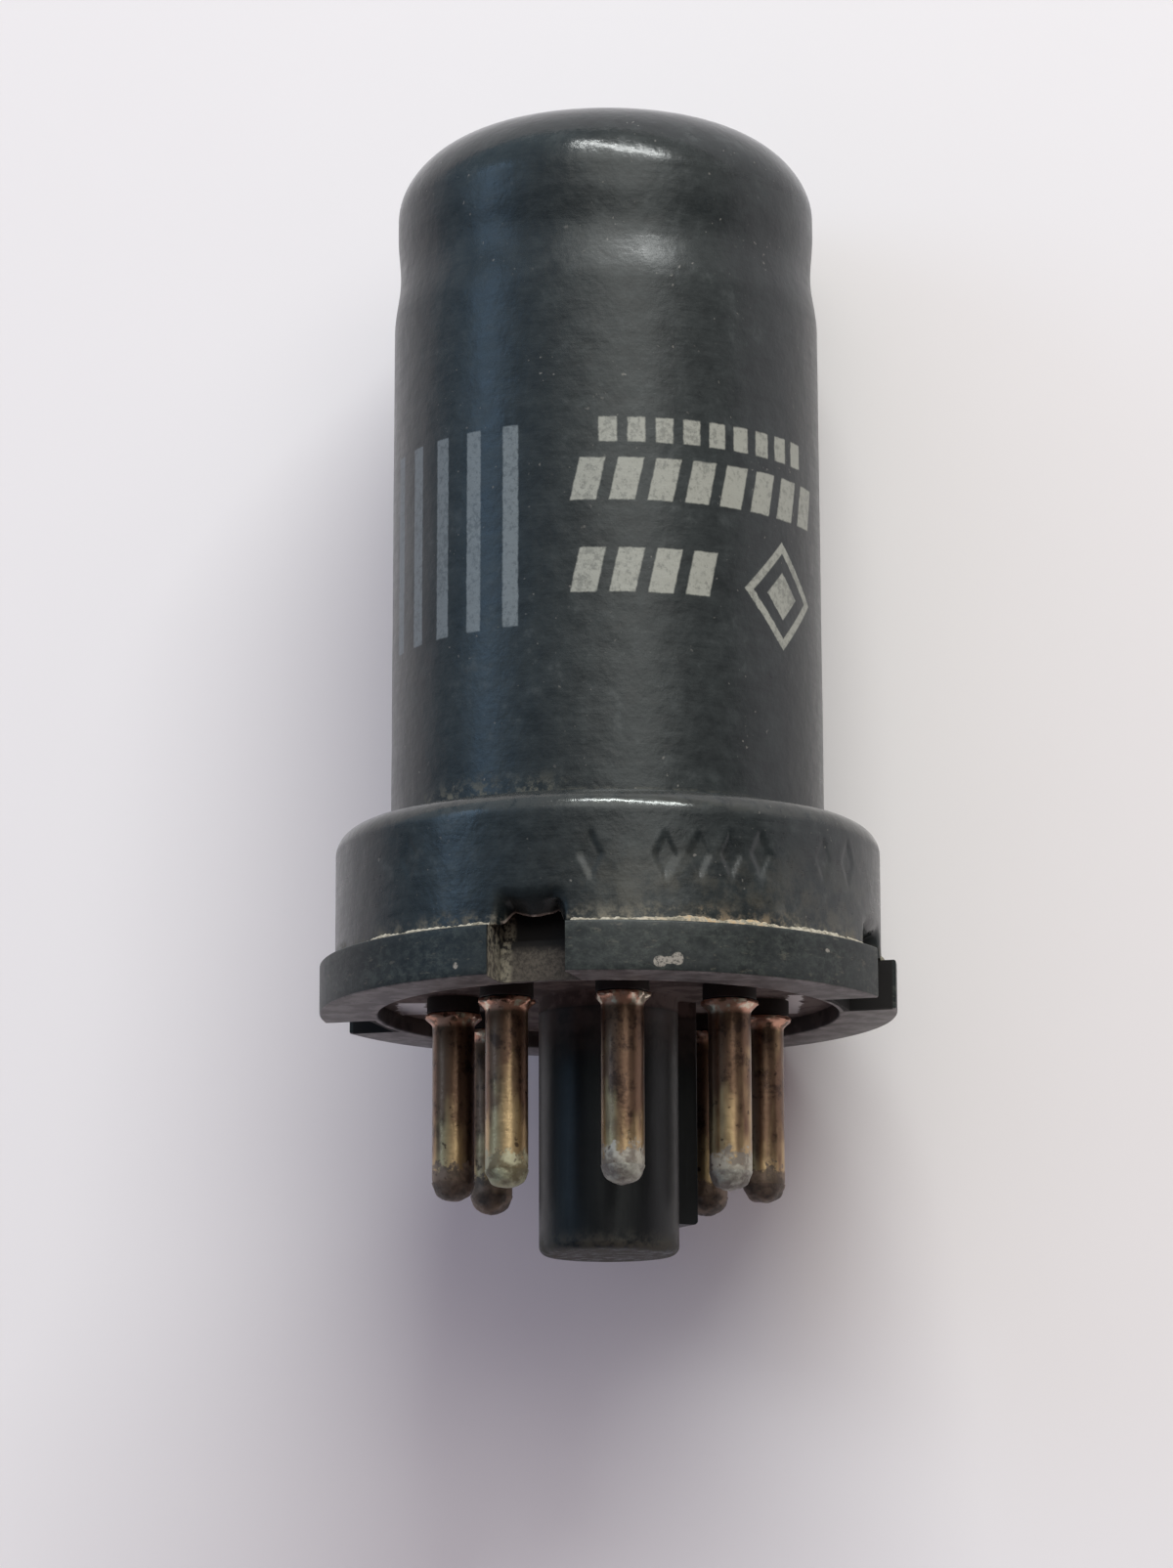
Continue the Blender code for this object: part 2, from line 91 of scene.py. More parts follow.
def on_circle(radius: float, azimuth: float, height: float = 0.0) -> Vector:
    """Point at an azimuth that runs from -Y towards +X."""
    return Vector((radius * math.sin(azimuth), -radius * math.cos(azimuth), height))


def azimuth_of(spot: Vector) -> float:
    """Azimuth of a point about the tube's axis."""
    return math.atan2(spot.x, -spot.y)


def arc(centre: Point, width: float, height: float, start: float, end: float,
        steps: int, power: float = 1.0) -> list[Point]:
    """Points of an arc in the (radius, height) plane.

    Args:
        centre: the arc's centre.
        width: its half width.
        height: its half height.
        start: first angle, 0 outwards and a quarter turn upwards.
        end: last angle.
        steps: number of steps.
        power: 1 for an ellipse, less for a squarer corner.

    Returns:
        The points, first to last.
    """
    points = []
    for step in range(steps + 1):
        turn = start + (end - start) * step / steps
        out = math.copysign(abs(math.cos(turn)) ** power, math.cos(turn))
        up = math.copysign(abs(math.sin(turn)) ** power, math.sin(turn))
        points.append((centre[0] + width * out, centre[1] + height * up))
    return points


def swept_step(start: Point, end: Point, steps: int) -> list[Point]:
    """Smooth run from one (radius, height) point to another, along the axis at both ends.

    Args:
        start: its first point.
        end: its last point.
        steps: number of steps.

    Returns:
        The points, first to last.
    """
    (near, low), (far, high) = start, end
    points = []
    for step in range(steps + 1):
        share = (1 - math.cos(math.pi * step / steps)) / 2
        points.append((near + (far - near) * share, low + (high - low) * step / steps))
    return points


def straight(start: Point, end: Point, steps: int) -> list[Point]:
    """Even steps from one (radius, height) point to another.

    Args:
        start: its first point.
        end: its last point.
        steps: number of steps.

    Returns:
        The points, first to last.
    """
    return [
        (start[0] + (end[0] - start[0]) * i / steps, start[1] + (end[1] - start[1]) * i / steps)
        for i in range(steps + 1)
    ]


def smooth(value: float, low: float, high: float) -> float:
    """0 up to low, 1 from high, and a smooth run between them."""
    share = min(1.0, max(0.0, (value - low) / (high - low)))
    return share * share * (3 - 2 * share)


def drawn_in(spot: Vector, depth: float) -> Vector:
    """Move a point towards the axis by a depth."""
    share = 1 - depth / spot.xy.length
    return Vector((spot.x * share, spot.y * share, spot.z))


def wave_at(spot: Vector, across: float, along: float, seed: float = 0.0) -> float:
    """Smooth noise at a point, from about -1 to 1.

    Args:
        spot: the point.
        across: waves in a metre across the axis.
        along: waves in a metre along it.
        seed: what sets one piece apart from the next.

    Returns:
        The noise.
    """
    return noise.noise(Vector((spot.x * across, spot.y * across, spot.z * along + seed)))


class Operation(Enum):
    """What a tool solid does to the piece it is used on."""

    ADD = "UNION"
    CUT = "DIFFERENCE"


class Modeller:
    """Edit-mode modelling of the pieces, upright about the tube's axis."""

    @staticmethod
    def clear_selection() -> None:
        """Leave object mode with nothing selected."""
        if bpy.context.object and bpy.context.object.mode != "OBJECT":
            bpy.ops.object.mode_set(mode="OBJECT")
        bpy.ops.object.select_all(action="DESELECT")

    @staticmethod
    def pick(piece: bpy.types.Object) -> None:
        """Make one object the only selected one, and the active one.

        Args:
            piece: the object.
        """
        Modeller.clear_selection()
        piece.select_set(True)
        bpy.context.view_layer.objects.active = piece

    @staticmethod
    def turned(name: str, outline: Sequence[Point], sides: int, ring: bool = False) -> bpy.types.Object:
        """Turn an outline by extruding a circle's edge along it.

        Args:
            name: the piece's name.
            outline: (radius, height) points, first to last, none on the axis.
            sides: edges of the circle.
            ring: True joins the last point to the first; False closes both ends.

        Returns:
            The piece, in object mode.
        """
        Modeller.clear_selection()
        radius, height = outline[0]
        bpy.ops.mesh.primitive_circle_add(
            vertices=sides, radius=radius, fill_type="NOTHING", location=(0.0, 0.0, height),
        )
        piece = bpy.context.object
        piece.name = name
        piece.data.name = name
        bpy.ops.object.mode_set(mode="EDIT")
        bpy.ops.mesh.select_all(action="SELECT")
        if not ring:
            bpy.ops.mesh.edge_face_add()
        for next_radius, next_height in list(outline[1:]) + ([outline[0]] if ring else []):
            bpy.ops.mesh.extrude_edges_move(
                TRANSFORM_OT_translate={"value": (0.0, 0.0, next_height - height)},
            )
            scale = next_radius / radius
            bpy.ops.transform.resize(value=(scale, scale, 1.0))
            radius, height = next_radius, next_height
        if not ring:
            bpy.ops.mesh.edge_face_add()
            bpy.ops.mesh.poke()
        bpy.ops.mesh.select_all(action="SELECT")
        bpy.ops.mesh.remove_doubles(threshold=MERGE)
        bpy.ops.mesh.normals_make_consistent(inside=False)
        bpy.ops.object.mode_set(mode="OBJECT")
        bpy.ops.object.transform_apply(location=True, rotation=True, scale=True)
        return piece

    @staticmethod
    def block(inner: float, outer: float, half_width: float, foot: float, top: float,
              azimuth: float) -> bpy.types.Object:
        """Box that runs outwards at an azimuth.

        Args:
            inner: radius of its inner face.
            outer: radius of its outer face.
            half_width: half its width across the azimuth.
            foot: its lowest height.
            top: its highest height.
            azimuth: the way it runs.

        Returns:
            The box, in object mode.
        """
        Modeller.clear_selection()
        middle = on_circle((inner + outer) / 2, azimuth, (foot + top) / 2)
        bpy.ops.mesh.primitive_cube_add(
            size=1.0, location=middle, rotation=(0.0, 0.0, azimuth - QUARTER),
            scale=(outer - inner, 2 * half_width, top - foot),
        )
        block = bpy.context.object
        bpy.ops.object.transform_apply(location=True, rotation=True, scale=True)
        return block

    @staticmethod
    def around(first: bpy.types.Object, azimuths: Sequence[float]) -> bpy.types.Object:
        """Copy a solid to several azimuths and join the copies.

        Args:
            first: the solid, at azimuth 0.
            azimuths: where its copies stand.

        Returns:
            One object with a copy at each azimuth.
        """
        copies = []
        for azimuth in azimuths:
            copy = first.copy()
            copy.data = first.data.copy()
            bpy.context.scene.collection.objects.link(copy)
            copy.rotation_euler = (0.0, 0.0, azimuth)
            copies.append(copy)
        bpy.data.objects.remove(first)
        Modeller.clear_selection()
        for copy in copies:
            copy.select_set(True)
        bpy.context.view_layer.objects.active = copies[0]
        bpy.ops.object.transform_apply(location=True, rotation=True, scale=True)
        bpy.ops.object.join()
        return bpy.context.object

    @staticmethod
    def combine(piece: bpy.types.Object, operation: Operation, tool: bpy.types.Object) -> None:
        """Add a tool solid to the piece, or cut it out, and remove the tool.

        Args:
            piece: the object that changes.
            operation: what the tool does to it.
            tool: the tool solid.
        """
        Modeller.pick(piece)
        change = piece.modifiers.new("combine", "BOOLEAN")
        change.operation = operation.value
        change.solver = "EXACT"
        change.object = tool
        bpy.ops.object.modifier_apply(modifier=change.name)
        bpy.data.objects.remove(tool)

    @staticmethod
    def shape(piece: bpy.types.Object, move: Callable[[Vector], Vector]) -> None:
        """Move every vertex of an upright piece to where a rule puts it.

        Args:
            piece: the piece.
            move: the rule.
        """
        for vert in piece.data.vertices:
            vert.co = move(vert.co.copy())
        piece.data.update()

    @staticmethod
    def mark(piece: bpy.types.Object, name: str, rule: Callable[[Vector], float]) -> None:
        """Write a number on each vertex of an upright piece for its finish to read.

        Args:
            piece: the piece.
            name: the number's name.
            rule: what gives it.
        """
        layer = piece.data.attributes.new(name, "FLOAT", "POINT")
        for item, vert in zip(layer.data, piece.data.vertices):
            item.value = rule(vert.co)

    @staticmethod
    def lay(piece: bpy.types.Object, finish: bpy.types.Material, slot: str, *nodes: str,
            sharp: float = 35.0) -> None:
        """Lay an upright piece in the frame, shade and dress it, and hand it over.

        Args:
            piece: the finished upright piece.
            finish: its material.
            slot: not used.
            nodes: the CAD nodes that it stands for.
            sharp: edges sharper than this many degrees stay sharp.
        """
        Modeller.pick(piece)
        bpy.ops.object.transform_apply(location=True, rotation=True, scale=True)
        piece.matrix_world = STANCE.matrix()
        bpy.ops.object.transform_apply(location=True, rotation=True, scale=True)
        bpy.ops.object.shade_smooth_by_angle(angle=math.radians(sharp))
        piece.data.materials.clear()
        piece.data.materials.append(finish)
        if nodes:
            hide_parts(*nodes)
        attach(piece, BODY)
        LOG.info("%-18s %6d faces", piece.name, len(piece.data.polygons))


class Nodes:
    """A node tree, with short ways to add its nodes."""

    def __init__(self, tree: bpy.types.NodeTree) -> None:
        """Take over a node tree and empty it."""
        self.tree = tree
        self.tree.nodes.clear()

    def node(self, kind: str, **settings: object) -> bpy.types.Node:
        """Add a node and set its own settings.

        Args:
            kind: the node's type.
            **settings: its settings, by name.

        Returns:
            The new node.
        """
        node = self.tree.nodes.new(kind)
        for setting, value in settings.items():
            setattr(node, setting, value)
        return node

    def feed(self, socket: Socket, value: Feed) -> None:
        """Link a socket, or set its number or colour.

        Args:
            socket: the input to feed.
            value: another node's output, a number or a colour.
        """
        if isinstance(value, bpy.types.NodeSocket):
            self.tree.links.new(value, socket)
        elif isinstance(value, (int, float)):
            socket.default_value = value
        else:
            size = len(socket.default_value)
            socket.default_value = tuple(value) + (1.0,) * (size - len(value))

    def tube_space(self, facing: bool = True) -> Socket:
        """Tube coordinates, worked out from the piece's own Object coordinates.

        Args:
            facing: True puts azimuth 0 where the photograph looks.

        Returns:
            The coordinates, in metres.
        """
        turn = STANCE.matrix() @ Matrix.Rotation(FACING if facing else 0.0, 4, "Z")
        place = self.node("ShaderNodeMapping", vector_type="TEXTURE")
        place.inputs["Location"].default_value = turn.to_translation()
        place.inputs["Rotation"].default_value = turn.to_euler()
        space = self.node("ShaderNodeTexCoord")
        self.tree.links.new(space.outputs["Object"], place.inputs["Vector"])
        return place.outputs["Vector"]

    def stretched(self, vector: Socket, scale: Sequence[float]) -> Socket:
        """Stretch coordinates along each axis.

        Args:
            vector: the coordinates.
            scale: the factor on each axis, less than 1 for a longer grain.

        Returns:
            The stretched coordinates.
        """
        place = self.node("ShaderNodeMapping", vector_type="POINT")
        place.inputs["Scale"].default_value = scale
        self.tree.links.new(vector, place.inputs["Vector"])
        return place.outputs["Vector"]

    def grain(self, vector: Socket, size: float, detail: float = 2.0, rough: float = 0.5,
              warp: float = 0.0) -> Socket:
        """Noise of a chosen scale.

        Args:
            vector: the coordinates.
            size: how far apart its lumps are, in metres.
            detail: how many finer layers it has.
            rough: how strong the finer layers are.
            warp: how much it is twisted.

        Returns:
            The noise, about 0.5 in the middle.
        """
        node = self.node("ShaderNodeTexNoise", normalize=True)
        names = ("Vector", "Scale", "Detail", "Roughness", "Distortion")
        for name, value in zip(names, (vector, 1.0 / size, detail, rough, warp)):
            self.feed(node.inputs[name], value)
        return node.outputs["Fac"]

    def maths(self, kind: str, first: Feed, second: Feed = 0.0, clamp: bool = False) -> Socket:
        """Add one Math node.

        Args:
            kind: its operation.
            first: its first number.
            second: its second number.
            clamp: True keeps the result between 0 and 1.

        Returns:
            The result.
        """
        node = self.node("ShaderNodeMath", operation=kind, use_clamp=clamp)
        self.feed(node.inputs[0], first)
        self.feed(node.inputs[1], second)
        return node.outputs[0]

    def chain(self, kind: str, values: Sequence[Feed]) -> Socket:
        """Join numbers by one operation after another.

        Args:
            kind: the Math node's operation.
            values: two numbers or more.

        Returns:
            The result.
        """
        result = values[0]
        for value in values[1:]:
            result = self.maths(kind, result, value)
        return result

    def plus(self, *values: Feed) -> Socket:
        """Sum of several numbers."""
        return self.chain("ADD", values)

    def times(self, *values: Feed) -> Socket:
        """Product of several numbers."""
        return self.chain("MULTIPLY", values)

    def most(self, *values: Feed) -> Socket:
        """The largest of several numbers."""
        return self.chain("MAXIMUM", values)

    def minus(self, first: Feed, second: Feed) -> Socket:
        """First number less the second."""
        return self.maths("SUBTRACT", first, second)

    def step(self, value: Feed, low: float, high: float, bottom: float = 0.0,
             top: float = 1.0) -> Socket:
        """Smooth step.

        Args:
            value: the number that it reads.
            low: where the step starts.
            high: where it ends.
            bottom: the result up to low.
            top: the result from high.

        Returns:
            The stepped number.
        """
        node = self.node("ShaderNodeMapRange", interpolation_type="SMOOTHSTEP", clamp=True)
        for socket, number in zip(node.inputs, (value, low, high, bottom, top)):
            self.feed(socket, number)
        return node.outputs[0]

    def fall(self, value: Feed, low: float, high: float) -> Socket:
        """Smooth step from 1 at low down to 0 at high."""
        return self.step(value, low, high, 1.0, 0.0)

    def band(self, value: Feed, low: float, high: float, edge: float) -> Socket:
        """Mask of a stretch.

        Args:
            value: the number that it reads.
            low: the stretch's start.
            high: its end.
            edge: how wide its soft edges are.

        Returns:
            1 between low and high, 0 elsewhere.
        """
        rise = self.step(value, low - edge / 2, low + edge / 2)
        return self.times(rise, self.fall(value, high - edge / 2, high + edge / 2))

    def mix(self, share: Feed, base: Feed, over: Feed) -> Socket:
        """Mix two colours.

        Args:
            share: 0 for the base, 1 for the other.
            base: the colour below.
            over: the colour above.

        Returns:
            The mixed colour.
        """
        node = self.node("ShaderNodeMix", data_type="RGBA")
        below, above = [socket for socket in node.inputs if socket.type == "RGBA"]
        self.feed(node.inputs["Factor"], share)
        self.feed(below, base)
        self.feed(above, over)
        return next(socket for socket in node.outputs if socket.type == "RGBA")

    def blend(self, share: Feed, base: Feed, over: Feed) -> Socket:
        """Mix two numbers.

        Args:
            share: 0 for the base, 1 for the other.
            base: the first number.
            over: the other number.

        Returns:
            The mixed number.
        """
        node = self.node("ShaderNodeMix", data_type="FLOAT")
        for index, value in ((0, share), (2, base), (3, over)):
            self.feed(node.inputs[index], value)
        return node.outputs[0]

    def parts(self, vector: Socket) -> tuple[Socket, Socket, Socket]:
        """Take a vector apart.

        Args:
            vector: the coordinates.

        Returns:
            Its X, Y and Z.
        """
        node = self.node("ShaderNodeSeparateXYZ")
        self.tree.links.new(vector, node.inputs[0])
        return node.outputs[0], node.outputs[1], node.outputs[2]

    def polar(self, vector: Socket) -> tuple[Socket, Socket, Socket]:
        """Turn tube coordinates into places round the axis.

        Args:
            vector: tube coordinates.

        Returns:
            Azimuth in degrees, distance from the axis and height.
        """
        east, north, height = self.parts(vector)
        turn = self.maths("ARCTAN2", east, self.times(north, -1.0))
        squares = self.plus(self.times(east, east), self.times(north, north))
        return self.times(turn, math.degrees(1.0)), self.maths("SQRT", squares), height

    def bump(self, height: Feed, depth: float, under: Optional[Socket] = None) -> Socket:
        """Bump the surface.

        Args:
            height: the pattern, from 0 to 1.
            depth: its depth in metres.
            under: a bump that this one goes over.

        Returns:
            The bumped normal.
        """
        node = self.node("ShaderNodeBump")
        self.feed(node.inputs["Height"], height)
        self.feed(node.inputs["Distance"], depth)
        self.feed(node.inputs["Strength"], 1.0)
        if under is not None:
            self.feed(node.inputs["Normal"], under)
        return node.outputs["Normal"]

    def attribute(self, name: str) -> Socket:
        """Number that the mesh carries on its vertices."""
        return self.node("ShaderNodeAttribute", attribute_name=name).outputs["Fac"]


class Graph(Nodes):
    """Node tree of one finish."""

    def __init__(self, name: str) -> None:
        """Start a material that has only its output and its shader.

        Args:
            name: the material's name.
        """
        self.material = bpy.data.materials.new(name)
        self.material.use_nodes = True
        super().__init__(self.material.node_tree)
        self.shader = self.node("ShaderNodeBsdfPrincipled")
        output = self.node("ShaderNodeOutputMaterial")
        self.tree.links.new(self.shader.outputs["BSDF"], output.inputs["Surface"])

    def surface(self, colour: Feed, roughness: Feed, metallic: Feed = 0.0,
                normal: Optional[Socket] = None, ior: float = 1.5) -> bpy.types.Material:
        """Feed the shader.

        Args:
            colour: the base colour.
            roughness: the roughness.
            metallic: 1 for bare metal.
            normal: the bumped normal, if any.
            ior: the index of refraction.

        Returns:
            The finished material.
        """
        self.shader.inputs["IOR"].default_value = ior
        self.feed(self.shader.inputs["Base Color"], colour)
        self.feed(self.shader.inputs["Roughness"], roughness)
        self.feed(self.shader.inputs["Metallic"], metallic)
        if normal is not None:
            self.feed(self.shader.inputs["Normal"], normal)
        return self.material


@dataclass(frozen=True)
class Wear:
    """Colours and amounts of the dust and rubbing on old black paint."""

    dust: Colour = (0.27, 0.26, 0.23)
    rubbed: Colour = (0.040, 0.047, 0.047)
    specks: float = 0.35
    mottling: float = 0.5


@dataclass(frozen=True)
class BlackPaint:
    """Semi-gloss black paint, mottled, dusty and rubbed."""

    deep: Colour = (0.0055, 0.0080, 0.0090)
    pale: Colour = (0.0160, 0.0210, 0.0215)
    roughness: float = 0.33
    ior: float = 1.45
    peel: float = 0.00002
    wear: Wear = Wear()

    def base(self, graph: Graph, space: Socket, gloss: Feed = 0.0) -> tuple[Socket, Socket, Socket]:
        """Paint before its marks.

        Args:
            graph: the finish's nodes.
            space: tube coordinates.
            gloss: how much smoother the paint is than usual.

        Returns:
            The colour, roughness and normal.
        """
        clouds = graph.grain(space, 0.009, 4.0, 0.6)
        mottle = graph.grain(space, 0.0011, 3.0, 0.65)
        fine = graph.grain(space, 0.00022, 2.0, 0.6)
        turned = graph.grain(graph.stretched(space, (0.10, 0.10, 1.0)), 0.00032, 3.0, 0.7)
        share = graph.plus(
            graph.times(clouds, 0.45), graph.times(mottle, self.wear.mottling), graph.times(turned, 0.22),
        )
        colour = graph.mix(graph.step(share, 0.42, 0.76), self.deep, self.pale)
        rubbed = graph.times(graph.step(mottle, 0.56, 0.70), graph.step(clouds, 0.45, 0.62), 0.5)
        colour = graph.mix(rubbed, colour, self.wear.rubbed)
        specks = graph.times(
            graph.step(graph.grain(space, 0.00028, 1.0, 0.4), 0.72, 0.79),
            graph.step(graph.grain(space, 0.0035, 1.0), 0.46, 0.62), self.wear.specks,
        )
        colour = graph.mix(specks, colour, self.wear.dust)
        roughness = graph.plus(self.roughness - 0.16, graph.times(mottle, 0.16), graph.times(turned, 0.16))
        roughness = graph.maths("ADD", graph.minus(roughness, gloss), graph.times(specks, 0.35), clamp=True)
        normal = graph.bump(graph.grain(space, 0.0013, 2.0, 0.5), self.peel * 2.2)
        normal = graph.bump(turned, self.peel * 0.25, normal)
        normal = graph.bump(fine, self.peel * 0.45, normal)
        return colour, roughness, normal


@dataclass(frozen=True)
class Print:
    """Where the worn print is read: the finish's nodes, the way round the can and up it."""

    graph: Graph
    along: Socket
    height: Socket
    arc: float = 0.000213
    edge: float = 0.00012


@dataclass(frozen=True)
class BlockRow:
    """Row of equal printed blocks: edges in degrees of azimuth, the rest in millimetres."""

    left: float
    right: float
    foot: float
    top: float
    pitch: float
    fill: float
    lean: float = 0.0

    def mask(self, on: Print) -> Socket:
        """Mask of the row.

        Args:
            on: where the print is read.

        Returns:
            1 inside the blocks and 0 outside.
        """
        graph, foot, pitch = on.graph, self.foot / 1000, self.pitch / 1000
        shifted = graph.minus(on.along, self.left * on.arc)
        if self.lean:
            shifted = graph.minus(shifted, graph.times(graph.minus(on.height, foot), self.lean))
        whole = graph.maths("FLOOR", graph.maths("DIVIDE", shifted, pitch))
        phase = graph.minus(shifted, graph.times(whole, pitch))
        block = graph.band(phase, on.edge / 2, pitch * self.fill, on.edge)
        reach = graph.band(shifted, 0.0, (self.right - self.left) * on.arc, on.edge)
        return graph.times(block, reach, graph.band(on.height, foot, self.top / 1000, on.edge))


@dataclass(frozen=True)
class Lozenge:
    """Printed outline of a lozenge round a small solid one, in degrees and millimetres."""

    azimuth: float
    middle: float
    reach: float
    line: float = 0.65
    core: float = 0.42

    def mask(self, on: Print) -> Socket:
        """Mask of the lozenge.

        Args:
            on: where the print is read.

        Returns:
            1 inside its lines and 0 outside.
        """
        graph, core = on.graph, self.reach * self.core / 1000
        aside = graph.maths("ABSOLUTE", graph.minus(on.along, self.azimuth * on.arc))
        above = graph.maths("ABSOLUTE", graph.minus(on.height, self.middle / 1000))
        spread = graph.plus(aside, above)
        outline = graph.band(spread, (self.reach - self.line) / 1000, self.reach / 1000, on.edge)
        return graph.most(outline, graph.fall(spread, core, core + on.edge))


@dataclass(frozen=True)
class PrintedBlocks:
    """Worn silver print on the can, as plain blocks, stripes and a lozenge."""

    ink: Colour = (0.260, 0.272, 0.235)
    # Ink of the left block: duller, and bluer as a painted reflection of the cool light on the left.
    dull_ink_blue_reflection: Colour = (0.135, 0.160, 0.165)
    blue_reflection_until: Point = (-18.0, -12.0)
    ragged: float = 0.00016
    shapes: tuple[Union[BlockRow, Lozenge], ...] = (
        BlockRow(-74.0, -19.5, 20.0, 31.4, 2.42, 0.42),
        BlockRow(-2.5, 65.0, 30.2, 31.6, 1.6, 0.66),
        BlockRow(-10.0, 70.0, 26.9, 29.3, 2.15, 0.70, 0.22),
        BlockRow(-10.0, 29.5, 21.7, 24.2, 2.15, 0.70, 0.22),
        Lozenge(53.0, 22.5, 3.1),
    )

    def mask(self, graph: Graph, space: Socket) -> Socket:
        """All the print's shapes, worn away in places.

        Args:
            graph: the finish's nodes.
            space: tube coordinates.

        Returns:
            How much ink there is.
        """
        azimuth, _, height = graph.polar(space)
        waver = graph.times(graph.minus(graph.grain(space, 0.0005, 3.0, 0.7), 0.5), self.ragged)
        on = Print(graph, graph.plus(graph.times(azimuth, Print.arc), waver), graph.plus(height, waver))
        shapes = graph.most(*[shape.mask(on) for shape in self.shapes])
        eaten = graph.times(graph.grain(space, 0.0003, 3.0, 0.7), 0.75)
        patch = graph.times(graph.grain(space, 0.004, 2.0), 0.4)
        keep = graph.step(graph.plus(eaten, patch), 0.44, 0.60)
        return graph.times(shapes, graph.plus(0.58, graph.times(keep, 0.36)))

    def colour(self, graph: Graph, space: Socket) -> Socket:
        """The ink's colour: duller on the left block, where it is also bluer as a painted reflection of the
        cool light on the left.
        """
        azimuth, _, _ = graph.polar(space)
        return graph.mix(graph.step(azimuth, *self.blue_reflection_until), self.dull_ink_blue_reflection, self.ink)


@dataclass(frozen=True)
class CanFinish:
    """Black paint of the can with its print, dust at its foot and a glossier dome."""

    paint: BlackPaint = BlackPaint()
    print_blocks: PrintedBlocks = PrintedBlocks()
    dirt: Colour = (0.20, 0.19, 0.135)
    dome_from: Point = (0.0455, 0.0480)
    dome_gloss: float = 0.14
    foot_until: Point = (0.0094, 0.0114)
    foot_sector: tuple[float, float, float] = (-58.0, -16.0, 22.0)
    corner_until: Point = (0.0104, 0.0109)

    def build(self) -> bpy.types.Material:
        """Paint, print and soil the can.

        Returns:
            The can's material.
        """
        graph = Graph("can_paint_aged")
        space = graph.tube_space()
        azimuth, _, height = graph.polar(space)
        gloss = graph.step(height, *self.dome_from, 0.0, self.dome_gloss)
        colour, roughness, normal = self.paint.base(graph, space, gloss)
        ink = self.print_blocks.mask(graph, space)
        colour = graph.mix(ink, colour, self.print_blocks.colour(graph, space))
        roughness = graph.blend(graph.times(ink, 0.6), roughness, 0.55)
        ragged = graph.grain(space, 0.0006, 4.0, 0.75)
        rise = graph.minus(height, graph.times(graph.grain(space, 0.003, 2.0), 0.0016))
        foot = graph.times(
            graph.fall(rise, *self.foot_until), graph.band(azimuth, *self.foot_sector),
            graph.step(ragged, 0.44, 0.62), 0.55,
        )
        corner = graph.times(graph.fall(height, *self.corner_until), graph.step(ragged, 0.40, 0.6), 0.45)
        dirty = graph.most(foot, corner)
        colour = graph.mix(dirty, colour, self.dirt)
        roughness = graph.blend(dirty, roughness, 0.8)
        return graph.surface(colour, roughness, 0.0, normal, self.paint.ior)


@dataclass(frozen=True)
class HeaderFinish:
    """Black paint of the header: dusty above the base, worn through on its staked edges."""

    paint: BlackPaint = BlackPaint(roughness=0.30)
    dust: Colour = (0.30, 0.27, 0.19)
    rust: Colour = (0.19, 0.120, 0.055)
    bare: Colour = (0.52, 0.45, 0.38)
    rubbed: Colour = (0.085, 0.088, 0.082)
    cavity: Colour = (0.016, 0.010, 0.008)
    shoulder: tuple[float, float, float] = (0.00920, 0.01020, 0.0004)
    shoulder_gloss: float = 0.12
    dust_until: Point = (0.0022, 0.0034)
    film_until: Point = (0.0030, 0.0085)
    film_sector: tuple[float, float, float] = (-8.0, 70.0, 30.0)
    rust_sector: tuple[float, float, float] = (16.0, 38.0, 8.0)

    def build(self) -> bpy.types.Material:
        """Paint, rub and soil the header.

        Returns:
            The header's material.
        """
        graph = Graph("header_paint_aged")
        space = graph.tube_space()
        azimuth, _, height = graph.polar(space)
        shoulder = graph.band(height, *self.shoulder)
        colour, roughness, normal = self.paint.base(graph, space, graph.times(shoulder, self.shoulder_gloss))
        ragged = graph.grain(space, 0.0008, 4.0, 0.72)
        rubbed = graph.times(shoulder, graph.step(ragged, 0.32, 0.55))
        colour = graph.mix(graph.times(rubbed, 0.5), colour, self.rubbed)
        low = graph.minus(height, graph.times(graph.grain(space, 0.004, 2.0), 0.0012))
        dusty = graph.times(graph.fall(low, *self.dust_until), graph.step(ragged, 0.44, 0.66))
        colour = graph.mix(graph.times(dusty, 0.40), colour, self.dust)
        film = graph.times(
            graph.fall(height, *self.film_until), graph.band(azimuth, *self.film_sector),
            graph.step(graph.grain(space, 0.0016, 4.0, 0.7), 0.38, 0.66), 0.11,
        )
        colour = graph.mix(film, colour, self.dust)
        stain = graph.times(dusty, graph.band(azimuth, *self.rust_sector), graph.step(ragged, 0.46, 0.6), 0.7)
        colour = graph.mix(stain, colour, self.rust)
        inside = graph.attribute("inside")
        colour = graph.mix(inside, colour, self.cavity)
        worn = graph.times(graph.attribute("worn_edge"), graph.step(ragged, 0.30, 0.52))
        colour = graph.mix(worn, colour, self.bare)
        roughness = graph.blend(graph.most(dusty, inside), roughness, 0.8)
        metallic = graph.plus(graph.times(worn, 0.2), graph.times(rubbed, 0.45))
        return graph.surface(colour, roughness, metallic, normal, self.paint.ior)


